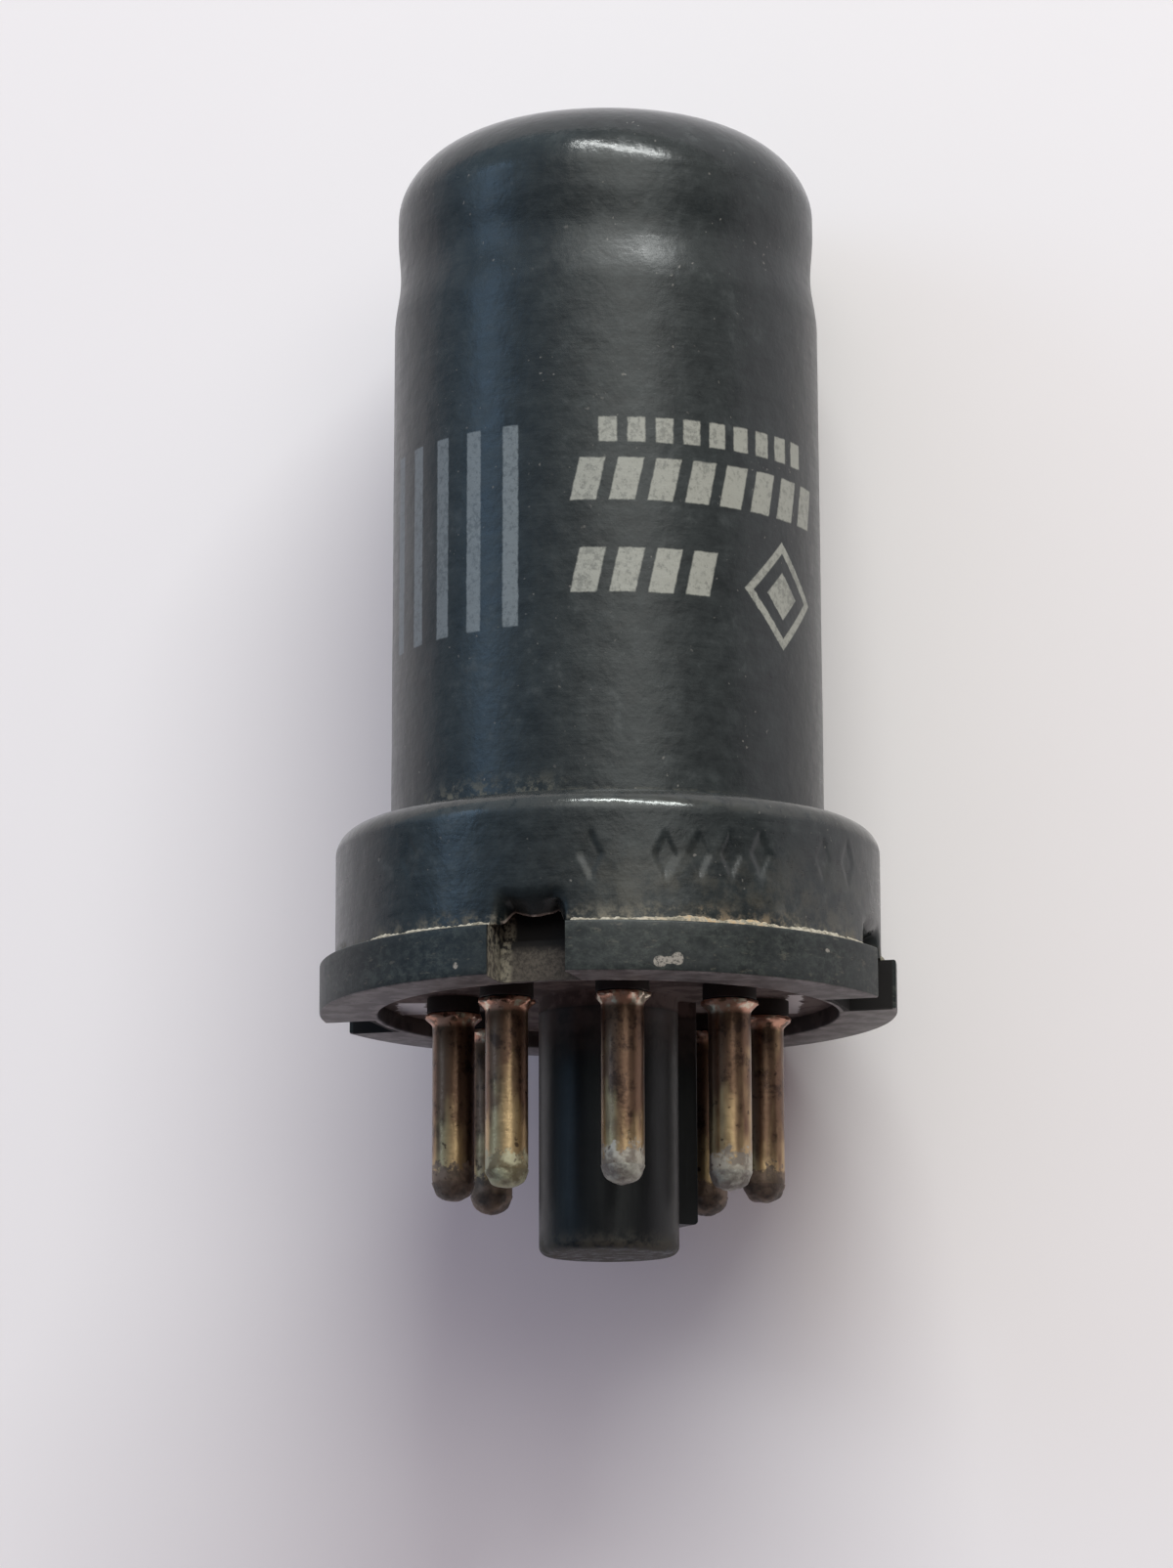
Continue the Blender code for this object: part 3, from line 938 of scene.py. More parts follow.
@dataclass(frozen=True)
class CrustFinish:
    """Dried dust and grease packed in the corner above the base rim."""

    pale: Colour = (0.36, 0.34, 0.27)
    dark: Colour = (0.13, 0.12, 0.085)
    rust: Colour = (0.33, 0.235, 0.120)
    rust_sector: tuple[float, float, float] = (10.0, 34.0, 12.0)

    def build(self) -> bpy.types.Material:
        """Colour and crumble the crust.

        Returns:
            The crust's material.
        """
        graph = Graph("dust_crust")
        space = graph.tube_space()
        azimuth, _, _ = graph.polar(space)
        ragged = graph.grain(space, 0.0005, 4.0, 0.7)
        colour = graph.mix(graph.step(ragged, 0.36, 0.60), self.dark, self.pale)
        stain = graph.times(graph.band(azimuth, *self.rust_sector), graph.step(ragged, 0.45, 0.6))
        colour = graph.mix(stain, colour, self.rust)
        normal = graph.bump(graph.grain(space, 0.0003, 4.0, 0.7), 0.00006)
        return graph.surface(colour, graph.step(ragged, 0.3, 0.7, 0.95, 0.75), 0.0, normal)


@dataclass(frozen=True)
class MouldedFace:
    """What each layer of the moulding's finish reads: places round the axis and two noises."""

    graph: Graph
    space: Socket
    azimuth: Socket
    radius: Socket
    height: Socket
    ragged: Socket
    blotches: Socket


@dataclass(frozen=True)
class Chip:
    """Ragged chip on the rim's wall, in degrees of azimuth and millimetres.

    A degree is how many millimetres one degree of azimuth spans there.
    """

    azimuth: float
    height: float
    half_width: float
    half_height: float
    eaten: float
    degree: float = 0.2836

    def mask(self, on: MouldedFace, noise_over: Socket) -> Socket:
        """Mask of the chip.

        Args:
            on: the moulding's places.
            noise_over: noise that eats its edge.

        Returns:
            1 inside and 0 outside.
        """
        graph = on.graph
        aside = graph.maths("DIVIDE", graph.minus(on.azimuth, self.azimuth), self.half_width / self.degree)
        above = graph.maths("DIVIDE", graph.minus(on.height, self.height / 1000), self.half_height / 1000)
        far = graph.maths("SQRT", graph.plus(graph.times(aside, aside), graph.times(above, above)))
        inside = graph.minus(1.0 + self.eaten * 0.5, graph.plus(far, graph.times(noise_over, self.eaten)))
        whole = graph.step(noise_over, self.eaten - 0.1, self.eaten + 0.04)
        return graph.times(graph.step(inside, 0.0, 0.18), whole, graph.step(on.radius, 0.0160, 0.0161))


@dataclass(frozen=True)
class PhenolicFinish:
    """Dark moulded phenolic: rubbed rim, dusty ring paled by painted reflection, dusty notches darkened by
    painted shade, stained recess paled by painted light, glossy plug.
    """

    deep: Colour = (0.0050, 0.0072, 0.0078)
    pale: Colour = (0.0150, 0.0190, 0.0190)
    plug: Colour = (0.0030, 0.0038, 0.0050)
    # Ring underside: pale dust, made paler still as a painted reflection of the paper below.
    underside: Colour = (0.215, 0.200, 0.195)
    underside_dark: Colour = (0.120, 0.106, 0.103)
    scuff: Colour = (0.38, 0.33, 0.32)
    dust: Colour = (0.21, 0.195, 0.145)
    notch_dust: Colour = (0.085, 0.075, 0.060)
    smear: Colour = (0.050, 0.061, 0.053)
    # Recess stain: brown, paler than the stain alone as painted light in the shaded recess.
    stain: Colour = (0.165, 0.127, 0.116)
    dark_stain: Colour = (0.086, 0.062, 0.055)
    root_dust: Colour = (0.085, 0.068, 0.062)
    spill: Colour = (0.72, 0.68, 0.68)
    chip: Colour = (0.23, 0.22, 0.19)
    # Painted shade: the colour of the notches' faces.
    cavity: Colour = (0.0060, 0.0045, 0.0040)
    boss: Colour = (0.022, 0.016, 0.0135)
    ior: float = 1.37
    wall_from: Point = (0.0158, 0.0161)
    ring_from: Point = (0.0129, 0.0131)
    ring_below: Point = (0.00002, 0.00010)
    ring_edge: Point = (0.0131, 0.0137)
    recess_until: Point = (0.0129, 0.0130)
    recess_band: tuple[float, float, float] = (0.00005, 0.0012, 0.00006)
    boss_below: Point = (0.00086, 0.00092)
    boss_band: tuple[float, float, float] = (0.0060, 0.0123, 0.0002)
    plug_until: Point = (0.0052, 0.0056)
    plug_below: Point = (-0.0002, 0.0003)
    root_from: Point = (-0.0030, 0.0004)
    tip_below: Point = (-0.0136, -0.0121)
    front_notch: tuple[float, float, float] = (-28.0, -4.0, 2.0)
    left_wall: tuple[float, float, float] = (-30.0, -23.0, 1.5)
    notch_half: Point = (0.00222, 0.00228)
    flakes: tuple[Chip, ...] = (
        Chip(9.6, 0.54, 0.40, 0.34, 0.34), Chip(11.4, 0.62, 0.46, 0.22, 0.34),
        Chip(13.0, 0.72, 0.36, 0.38, 0.34),
    )
    nicks: tuple[Chip, ...] = (Chip(-30.6, 0.66, 0.16, 0.2, 0.1), Chip(47.0, 1.9, 0.2, 0.12, 0.42))

    def build(self) -> bpy.types.Material:
        """Lay the finish over the moulding, one kind of place after another.

        Returns:
            The moulding's material.
        """
        graph = Graph("dark_phenolic_aged")
        space = graph.tube_space()
        ragged = graph.grain(space, 0.0007, 4.0, 0.72)
        on = MouldedFace(graph, space, *graph.polar(space), ragged, graph.grain(space, 0.0013, 4.0, 0.6))
        colour = self.ring_dust_and_reflection(on, self.rubbed_wall(on))
        colour, recess = self.stained_recess_with_painted_light(on, colour)
        colour, plug, tip = self.glossy_plug(on, colour)
        colour, notch = self.shaded_dusty_notches(on, colour)
        spills = self.spills(on)
        colour, chips = self.chipped(on, graph.mix(spills, colour, self.spill))
        rim_roughness = graph.plus(0.36, graph.times(ragged, 0.22))
        plug_roughness = graph.plus(0.32, graph.times(ragged, 0.14))
        roughness = graph.blend(plug, rim_roughness, plug_roughness)
        roughness = graph.blend(graph.most(notch, chips, tip, recess), roughness, 0.8)
        roughness = graph.blend(spills, roughness, 0.35)
        normal = graph.bump(graph.grain(space, 0.0022, 2.0), 0.00003, graph.bump(ragged, 0.000012))
        return graph.surface(colour, roughness, graph.times(spills, 0.9), normal, self.ior)

    def rubbed_wall(self, on: MouldedFace) -> Socket:
        """Clouded moulding, with scuffs and greenish smears on the rim's wall.

        Args:
            on: the moulding's places.

        Returns:
            The colour.
        """
        graph = on.graph
        clouds = graph.grain(on.space, 0.005, 4.0, 0.6)
        shade = graph.plus(graph.times(clouds, 0.5), graph.times(on.ragged, 0.5))
        colour = graph.mix(graph.step(shade, 0.40, 0.62), self.deep, self.pale)
        wall = graph.step(on.radius, *self.wall_from)
        scratches = graph.grain(graph.stretched(on.space, (1.0, 1.0, 2.6)), 0.0009, 3.0, 0.7)
        colour = graph.mix(graph.times(graph.step(scratches, 0.58, 0.70), wall, 0.20), colour, self.dust)
        smears = graph.grain(graph.stretched(on.space, (1.0, 1.0, 1.6)), 0.0006, 6.0, 0.8, 0.25)
        patches = graph.step(graph.grain(on.space, 0.004, 2.0), 0.30, 0.6, 0.25, 1.0)
        return graph.mix(graph.times(graph.step(smears, 0.42, 0.66), wall, patches, 0.55), colour, self.smear)

    def ring_dust_and_reflection(self, on: MouldedFace, colour: Socket) -> Socket:
        """Pale blotched dust on the ring that faces the socket, paler than dust alone as a painted reflection
        of the paper below.

        Args:
            on: the moulding's places.
            colour: the colour below.

        Returns:
            The colour.
        """
        graph = on.graph
        ring = graph.times(graph.step(on.radius, *self.ring_from), graph.fall(on.height, *self.ring_below))
        # Painted reflection: the ring's dust is paler than dust alone, standing in for light that the paper
        # throws onto it.
        dusty = graph.mix(graph.step(on.blotches, 0.40, 0.60), self.underside_dark, self.underside)
        edge = graph.times(graph.fall(on.radius, *self.ring_edge), graph.step(on.blotches, 0.46, 0.56), 0.5)
        dusty = graph.mix(edge, dusty, self.scuff)
        return graph.mix(graph.times(ring, graph.step(on.ragged, 0.25, 0.60, 0.55, 1.0)), colour, dusty)

    def stained_recess_with_painted_light(self, on: MouldedFace, colour: Socket) -> tuple[Socket, Socket]:
        """Brown stain on the recess floor, paler than the stain alone as painted light in the shaded recess,
        darker on the bosses' walls.

        Args:
            on: the moulding's places.
            colour: the colour below.

        Returns:
            The colour and the recess's mask.
        """
        graph = on.graph
        depth = graph.band(on.height, *self.recess_band)
        recess = graph.times(graph.fall(on.radius, *self.recess_until), depth)
        stained = graph.mix(graph.step(on.blotches, 0.42, 0.58), self.dark_stain, self.stain)
        # Painted light: the stain is pale enough to stand in for light that the shaded recess does not get.
        colour = graph.mix(graph.times(recess, 0.9), colour, stained)
        walls = graph.times(
            recess, graph.fall(on.height, *self.boss_below), graph.band(on.radius, *self.boss_band),
        )
        return graph.mix(walls, colour, self.boss), recess

    def glossy_plug(self, on: MouldedFace, colour: Socket) -> tuple[Socket, Socket, Socket]:
        """Streaked gloss of the plug, dusty at its root and its tip.

        Args:
            on: the moulding's places.
            colour: the colour below.

        Returns:
            The colour, the plug's mask and its dusty tip's.
        """
        graph = on.graph
        plug = graph.times(graph.fall(on.radius, *self.plug_until), graph.fall(on.height, *self.plug_below))
        streaks = graph.grain(graph.stretched(on.space, (1.0, 1.0, 0.08)), 0.0006, 3.0, 0.6)
        streaked = graph.mix(graph.step(streaks, 0.45, 0.75, 0.0, 0.4), self.plug, self.pale)
        colour = graph.mix(plug, colour, streaked)
        rise = graph.plus(on.height, graph.times(on.ragged, 0.0012))
        patches = graph.step(on.blotches, 0.34, 0.60, 0.45, 1.0)
        root = graph.times(plug, graph.step(rise, *self.root_from), patches, 0.75)
        colour = graph.mix(root, colour, self.root_dust)
        tip = graph.times(plug, graph.fall(on.height, *self.tip_below), graph.step(on.ragged, 0.35, 0.62))
        return graph.mix(graph.times(tip, 0.25), colour, self.dust), plug, tip

    def shaded_dusty_notches(self, on: MouldedFace, colour: Socket) -> tuple[Socket, Socket]:
        """Notches in the rim darkened as painted shade, with dust in the one that the photograph shows.

        Args:
            on: the moulding's places.
            colour: the colour below.

        Returns:
            The colour and the notches' mask.
        """
        graph = on.graph
        notch = self.notches(on)
        # Painted shade: the notches' faces are darkened.
        colour = graph.mix(graph.times(notch, 0.9), colour, self.cavity)
        low = graph.fall(graph.plus(on.height, graph.times(on.ragged, 0.0008)), 0.0017, 0.0024)
        settled = graph.step(graph.grain(on.space, 0.00022, 5.0, 0.75), 0.34, 0.64, 0.35, 1.0)
        dust = graph.times(notch, graph.band(on.azimuth, *self.front_notch), low, settled, 0.85)
        colour = graph.mix(dust, colour, self.notch_dust)
        flecks = graph.step(graph.grain(on.space, 0.0004, 4.0, 0.7), 0.40, 0.60)
        wall = graph.times(notch, graph.band(on.azimuth, *self.left_wall), flecks, 0.75)
        return graph.mix(wall, colour, self.dust), notch

    def notches(self, on: MouldedFace) -> Socket:
        """Find the faces inside the rim's four notches and their locking ledges.

        Args:
            on: the moulding's places.

        Returns:
            Their mask.
        """
        graph = on.graph
        east, north, _ = graph.parts(graph.tube_space(facing=False))
        near = graph.most(
            graph.fall(graph.maths("ABSOLUTE", east), *self.notch_half),
            graph.fall(graph.maths("ABSOLUTE", north), *self.notch_half),
        )
        lock = graph.times(graph.step(on.radius, 0.0127, 0.0128), graph.step(on.height, 0.0016, 0.0017))
        deep = graph.most(graph.step(on.radius, 0.0132, 0.0133), lock)
        return graph.times(near, deep, graph.fall(on.radius, 0.0160, 0.0161))

    def spills(self, on: MouldedFace) -> Socket:
        """Find the two bright spills on the recess floor, one beside each side pin.

        Args:
            on: the moulding's places.

        Returns:
            Their mask.
        """
        graph = on.graph
        east, north, height = graph.parts(on.space)
        reach = graph.plus(east, graph.times(graph.minus(on.ragged, 0.5), 0.0011))
        right = graph.times(
            graph.band(reach, 0.0100, 0.0109, 0.0002), graph.band(north, -0.0014, 0.0055, 0.0004),
        )
        left = graph.times(
            graph.band(reach, -0.0119, -0.0103, 0.0002), graph.band(north, 0.0012, 0.0055, 0.0006),
        )
        return graph.times(graph.most(right, left), graph.band(height, 0.0009, 0.0010, 0.00004))

    def chipped(self, on: MouldedFace, colour: Socket) -> tuple[Socket, Socket]:
        """Flake and nick the rim's wall.

        Args:
            on: the moulding's places.
            colour: the colour below.

        Returns:
            The colour and the chips' mask.
        """
        graph = on.graph
        flaky = graph.grain(on.space, 0.00020, 4.0, 0.75, 0.6)
        masks = [chip.mask(on, flaky) for chip in self.flakes]
        masks += [chip.mask(on, on.ragged) for chip in self.nicks]
        chips = graph.most(*masks)
        flecked = graph.step(graph.grain(on.space, 0.00016, 3.0, 0.7), 0.38, 0.54, 0.25, 1.0)
        return graph.mix(graph.times(chips, flecked), colour, self.chip), chips


class SolderTone(Enum):
    """How a pin's solder has aged: the colours of its high and low places."""

    PALE = ((0.36, 0.355, 0.305), (0.155, 0.140, 0.120))
    YELLOWED = ((0.37, 0.37, 0.25), (0.12, 0.105, 0.060))
    BROWN = ((0.17, 0.125, 0.095), (0.060, 0.045, 0.036))
    DARK = ((0.15, 0.13, 0.12), (0.035, 0.030, 0.028))


@dataclass(frozen=True)
class BrassFinish:
    """Tarnished brass: brown over ochre, darker towards the root as painted shade, pinkish at the collar,
    grey where solder ran.
    """

    tone: SolderTone
    ochre: Colour = (0.42, 0.298, 0.165)
    brown: Colour = (0.150, 0.088, 0.058)
    dark: Colour = (0.068, 0.040, 0.029)
    copper: Colour = (0.58, 0.31, 0.22)
    bright: Colour = (0.74, 0.66, 0.52)
    # Ochre rises towards the tip: rubbing there, and painted shade darkening the brass towards the root.
    rubbed_and_shaded_from: Point = (-0.0088, -0.0040)
    solder_below: Point = (-0.0088, -0.0084)
    collar_from: Point = (-0.0009, -0.0006)

    def build(self) -> bpy.types.Material:
        """Tarnish the brass.

        Returns:
            The material of the pins whose solder has this tone.
        """
        graph = Graph(f"tarnished_brass_{self.tone.name.lower()}")
        space = graph.tube_space()
        _, _, height = graph.polar(space)
        streaks = graph.grain(graph.stretched(space, (1.0, 1.0, 0.30)), 0.0017, 3.0, 0.6)
        ragged = graph.grain(space, 0.0006, 4.0, 0.7)
        patches = graph.grain(space, 0.0035, 2.0, 0.5)
        # Painted shade: less ochre towards the root, where the rim's shadow falls; more towards the tip,
        # where it is rubbed.
        worn = graph.plus(
            graph.times(streaks, 0.6), graph.times(patches, 0.5),
            graph.step(height, *self.rubbed_and_shaded_from, 0.10, -0.10),
        )
        clouds = graph.step(graph.grain(space, 0.0012, 4.0, 0.7), 0.36, 0.52)
        tarnish = graph.mix(clouds, self.dark, self.brown)
        colour = graph.mix(graph.step(worn, 0.49, 0.66), tarnish, self.ochre)
        high, low = self.tone.value
        edge = graph.plus(height, graph.times(graph.minus(ragged, 0.5), 0.0034))
        near_tip = graph.fall(edge, *self.solder_below)
        solder = graph.mix(graph.step(graph.grain(space, 0.0009, 3.0, 0.6), 0.40, 0.60), low, high)
        colour = graph.mix(graph.times(near_tip, 0.9), colour, solder)
        flakes = graph.grain(space, 0.0011, 3.0, 0.6)
        pink = graph.mix(graph.step(flakes, 0.36, 0.44), self.brown, self.copper)
        collar = graph.mix(graph.step(flakes, 0.52, 0.62), pink, self.bright)
        colour = graph.mix(graph.times(graph.step(height, *self.collar_from), 0.92), colour, collar)
        spots = graph.step(graph.grain(space, 0.0005, 2.0), 0.64, 0.72)
        colour = graph.mix(graph.times(spots, 0.8), colour, self.dark)
        roughness = graph.plus(0.20, graph.times(ragged, 0.22))
        roughness = graph.maths("ADD", roughness, graph.times(near_tip, 0.2), clamp=True)
        metallic = graph.blend(near_tip, graph.step(worn, 0.40, 0.60, 0.82, 0.96), 0.4)
        drawn = graph.grain(graph.stretched(space, (1.0, 1.0, 0.3)), 0.0010, 2.0)
        normal = graph.bump(drawn, 0.00004, graph.bump(ragged, 0.000018))
        return graph.surface(colour, roughness, metallic, normal)


@dataclass(frozen=True)
class SolderFinish:
    """Dull, lumpy solder of one tone."""

    tone: SolderTone

    def build(self) -> bpy.types.Material:
        """Colour and roughen the solder.

        Returns:
            The solder's material.
        """
        graph = Graph(f"solder_{self.tone.name.lower()}")
        space = graph.tube_space()
        lumps = graph.grain(space, 0.0009, 3.0, 0.6)
        fine = graph.grain(space, 0.0002, 3.0, 0.6)
        high, low = self.tone.value
        colour = graph.mix(graph.step(lumps, 0.38, 0.62), low, high)
        normal = graph.bump(fine, 0.000025, graph.bump(lumps, 0.00012))
        roughness = graph.step(fine, 0.3, 0.7, 0.42, 0.66)
        return graph.surface(colour, roughness, graph.step(lumps, 0.4, 0.6, 0.35, 0.6), normal)


@dataclass(frozen=True)
class BareMetalFinish:
    """Bare metal inside the base, clouded and finely drawn along the axis."""

    name: str
    bright: Colour
    dull: Colour
    roughness: float

    def build(self) -> bpy.types.Material:
        """Cloud the metal.

        Returns:
            The metal's material.
        """
        graph = Graph(self.name)
        space = graph.tube_space()
        clouds = graph.grain(space, 0.002, 3.0)
        drawn = graph.grain(graph.stretched(space, (1.0, 1.0, 0.1)), 0.0003, 2.0)
        colour = graph.mix(graph.step(clouds, 0.35, 0.65), self.dull, self.bright)
        roughness = graph.plus(self.roughness, graph.times(drawn, 0.15))
        return graph.surface(colour, roughness, 1.0, graph.bump(drawn, 0.000008))


@dataclass(frozen=True)
class SealGlassFinish:
    """Greenish-grey glass of the button, with faint swirls."""

    pale: Colour = (0.42, 0.50, 0.52)
    dark: Colour = (0.24, 0.31, 0.33)

    def build(self) -> bpy.types.Material:
        """Swirl the glass.

        Returns:
            The glass button's material.
        """
        graph = Graph("seal_glass_swirled")
        space = graph.tube_space()
        swirls = graph.grain(space, 0.0025, 3.0, 0.5, 1.2)
        colour = graph.mix(graph.step(swirls, 0.35, 0.65), self.dark, self.pale)
        graph.shader.inputs["Transmission Weight"].default_value = 0.35
        roughness = graph.step(swirls, 0.3, 0.7, 0.08, 0.18)
        return graph.surface(colour, roughness, 0.0, graph.bump(swirls, 0.00002))


@dataclass
class Can:
    """The drawn can: wall, rolled groove, band and dome."""

    foot: float = 0.01035
    height: float = 0.0413
    foot_radius: float = 0.01228
    draft: float = 0.00011
    groove_depth: float = 0.00034
    groove_lower_run: float = 0.0033
    groove_upper_run: float = 0.0025
    band_step: float = 0.0002
    band_height: float = 0.001
    corner_width: float = 0.0062
    corner_height: float = 0.0048
    squareness: float = 1.92
    crown_rise: float = 0.0005
    waver: float = 0.000035
    sides: int = 256

    def outline(self) -> list[Point]:
        """Work out the can's outside.

        Returns:
            (radius, height) points from its foot to just off the axis.
        """
        top = self.foot + self.height
        wall = self.foot_radius - self.draft
        band = wall - self.band_step
        groove_radius = wall - self.groove_depth
        corner = top - self.crown_rise - self.corner_height
        crown = band - self.corner_width
        band_foot = corner - self.band_height
        groove = band_foot - self.groove_upper_run
        groove_foot = groove - self.groove_lower_run
        points = straight((self.foot_radius, self.foot), (wall, groove_foot), 12)
        points += swept_step((wall, groove_foot), (groove_radius, groove), 14)[1:]
        points += swept_step((groove_radius, groove), (band, band_foot), 12)[1:]
        points += arc((crown, corner), self.corner_width, self.corner_height, 0.0, QUARTER, 26,
                      2 / self.squareness)
        points += [(crown * t, top - self.crown_rise * t * t) for t in (0.86, 0.7, 0.5, 0.3, 0.1)]
        return points

    def build(self) -> None:
        """Model, dress and place the can."""
        piece = Modeller.turned("can_shell", self.outline(), self.sides)

        def settle(spot: Vector) -> Vector:
            """Dent the wall a little, because drawn steel is never quite round.

            Args:
                spot: a vertex.

            Returns:
                Its place, never further out.
            """
            if spot.xy.length < MERGE:
                return spot
            around = spot.normalized() * 2.2
            wave = noise.noise(Vector((around.x, around.y, spot.z * 160)))
            return drawn_in(spot, abs(wave) * self.waver)

        Modeller.shape(piece, settle)
        Modeller.lay(piece, CanFinish().build(), "can_paint", "envelope", sharp=50.0)


@dataclass(frozen=True)
class PunchMark:
    """One shallow lozenge punched into the skirt: its place and its size."""

    azimuth: float
    height: float
    depth: float
    half_width: float = 0.00062
    half_height: float = 0.00125

    def sink(self, azimuth: float, height: float, radius: float) -> float:
        """How far the skirt is pressed in at a place.

        Args:
            azimuth: the place's azimuth.
            height: its height.
            radius: the skirt's radius.

        Returns:
            The depth.
        """
        aside = abs((azimuth - self.azimuth + math.pi) % (2 * math.pi) - math.pi) * radius
        spread = aside / self.half_width + abs(height - self.height) / self.half_height
        return self.depth * smooth(1.25 - spread, 0.0, 0.45)


@dataclass
class Header:
    """The pressed header: flat, round shoulder, skirt and four staked lugs."""

    radius: float = 0.01538
    foot: float = 0.00285
    skirt_height: float = 0.00745
    sheet: float = 0.0008
    shoulder: float = 0.00135
    bore: float = 0.0082
    lug_length: float = 0.0016
    lug_flat_half: float = 0.0012
    lug_flank: float = 0.0009
    fold_run: float = 0.00095
    middle_bend: float = math.radians(50)
    ear_bend: float = math.radians(64)
    waver: float = 0.000012
    ragged_tip: float = 0.00010
    sides: int = 640

    def marks(self) -> list[PunchMark]:
        """Plain lozenges where the skirt is punched.

        Returns:
            The marks.
        """
        places = (
            (-45.0, 7.1, 0.00003), (-3.7, 6.5, 0.00009), (11.5, 6.5, 0.00010), (18.5, 6.6, 0.00010),
            (25.5, 6.7, 0.00011), (32.5, 6.9, 0.00011), (50.0, 7.1, 0.00006), (59.0, 7.3, 0.00005),
        )
        return [
            PunchMark(math.radians(azimuth) + FACING, height / 1000, depth)
            for azimuth, height, depth in places
        ]

    def outline(self) -> list[Point]:
        """Work out the header's section.

        Returns:
            Its ring of (radius, height) points, clockwise from the bore.
        """
        rise, edge = 0.00005, 0.00006
        top = self.foot + self.skirt_height
        fold = self.foot + self.lug_length
        bend = self.shoulder - self.sheet / 2
        inner = self.radius - self.sheet
        points = straight((self.bore, top), (self.radius - self.shoulder, top), 4)
        points += arc((self.radius - self.shoulder, top - self.shoulder), self.shoulder, self.shoulder,
                      QUARTER, 0.0, 12)[1:]
        above = fold + self.fold_run / 2
        below = fold - self.fold_run / 2
        points += straight((self.radius, top - self.shoulder), (self.radius, above), 24)[1:]
        points += straight((self.radius, above), (self.radius, below), 8)[1:]
        points += straight((self.radius, below), (self.radius, self.foot + rise), 6)[1:]
        points += [(self.radius - edge, self.foot), (inner + edge, self.foot)]
        points += straight((inner, self.foot + rise), (inner, below), 4)
        points += straight((inner, below), (inner, above), 8)[1:]
        points += arc((inner - bend, top - self.sheet - bend), bend, bend, 0.0, QUARTER, 6)
        points += [(self.bore, top - self.sheet)]
        return points

    def bend_at(self, aside: float) -> float:
        """How far the skirt's edge is bent in.

        Args:
            aside: the distance from the lug's middle.

        Returns:
            The angle, 0 beside the lug.
        """
        aside = abs(aside)
        half = self.lug_flat_half + self.lug_flank
        if aside >= half:
            return 0.0
        if aside > self.lug_flat_half:
            return self.ear_bend * smooth(half - aside, 0.0, self.lug_flank)
        return self.middle_bend + (self.ear_bend - self.middle_bend) * (aside / self.lug_flat_half) ** 2

    def stake(self, spot: Vector) -> Vector:
        """Bend the skirt's edge in over the base's ledges, and press its marks in.

        Args:
            spot: a vertex of the turned header.

        Returns:
            Its place on the staked one.
        """
        radius = spot.xy.length
        fold = self.foot + self.lug_length + self.fold_run / 2
        if spot.z > fold - MERGE / 2:
            if radius < self.radius - SKIN:
                return spot
            azimuth = azimuth_of(spot)
            sunk = max(mark.sink(azimuth, spot.z, self.radius) for mark in self.marks())
            wave = abs(wave_at(spot, 260, 260)) * self.waver * smooth(spot.z - fold, 0.0, 0.0008)
            return drawn_in(spot, sunk + wave)
        angle = math.atan2(spot.y, spot.x)
        middle = round(angle / QUARTER) * QUARTER
        aside = radius * math.sin(angle - middle)
        bend = self.bend_at(aside)
        outer = math.sqrt(self.radius ** 2 - aside ** 2)
        out = radius * math.cos(angle - middle) - outer
        drop = fold - spot.z
        tip = smooth(drop, self.fold_run, self.lug_length)
        if bend:
            drop -= noise.noise(Vector((aside * 2600, middle * 5, 3.0))) * self.ragged_tip * tip
        turn = bend * min(1.0, drop / self.fold_run)
        flat = max(0.0, drop - self.fold_run)
        inwards, down = 0.0, drop
        if bend > 1e-4:
            round_radius = self.fold_run / bend
            inwards = round_radius * (1 - math.cos(turn)) + flat * math.sin(bend)
            down = round_radius * math.sin(turn) + flat * math.cos(bend)
        new_out = outer - inwards + out * math.cos(turn)
        height = fold - down - out * math.sin(turn)
        return Matrix.Rotation(middle, 3, "Z") @ Vector((new_out, aside, height))

    def build(self) -> None:
        """Model, dress and place the header."""
        piece = Modeller.turned("header_pressing", self.outline(), self.sides, ring=True)
        inner = self.radius - self.sheet

        def edge(spot: Vector) -> float:
            """Find the outer edge of a staked lug, where the paint is worn through.

            Args:
                spot: a vertex.

            Returns:
                1 there and 0 elsewhere.
            """
            radius = spot.xy.length
            angle = math.atan2(spot.y, spot.x)
            middle = round(angle / QUARTER) * QUARTER
            lug = 1.0 if self.bend_at(radius * math.sin(angle - middle)) > 0.3 else 0.0
            close = spot.z < self.foot + 2 * SKIN and radius > self.radius - 3 * SKIN
            return lug if close else 0.0

        def within(spot: Vector) -> float:
            """Find the header's inner faces.

            Args:
                spot: a vertex.

            Returns:
                1 there and 0 elsewhere.
            """
            under = spot.z < self.foot + self.skirt_height - self.sheet + SKIN
            return 1.0 if under and spot.xy.length < inner + SKIN else 0.0

        Modeller.mark(piece, "worn_edge", edge)
        Modeller.mark(piece, "inside", within)
        Modeller.shape(piece, self.stake)
        Modeller.lay(piece, HeaderFinish().build(), "header_paint", "header", sharp=50.0)


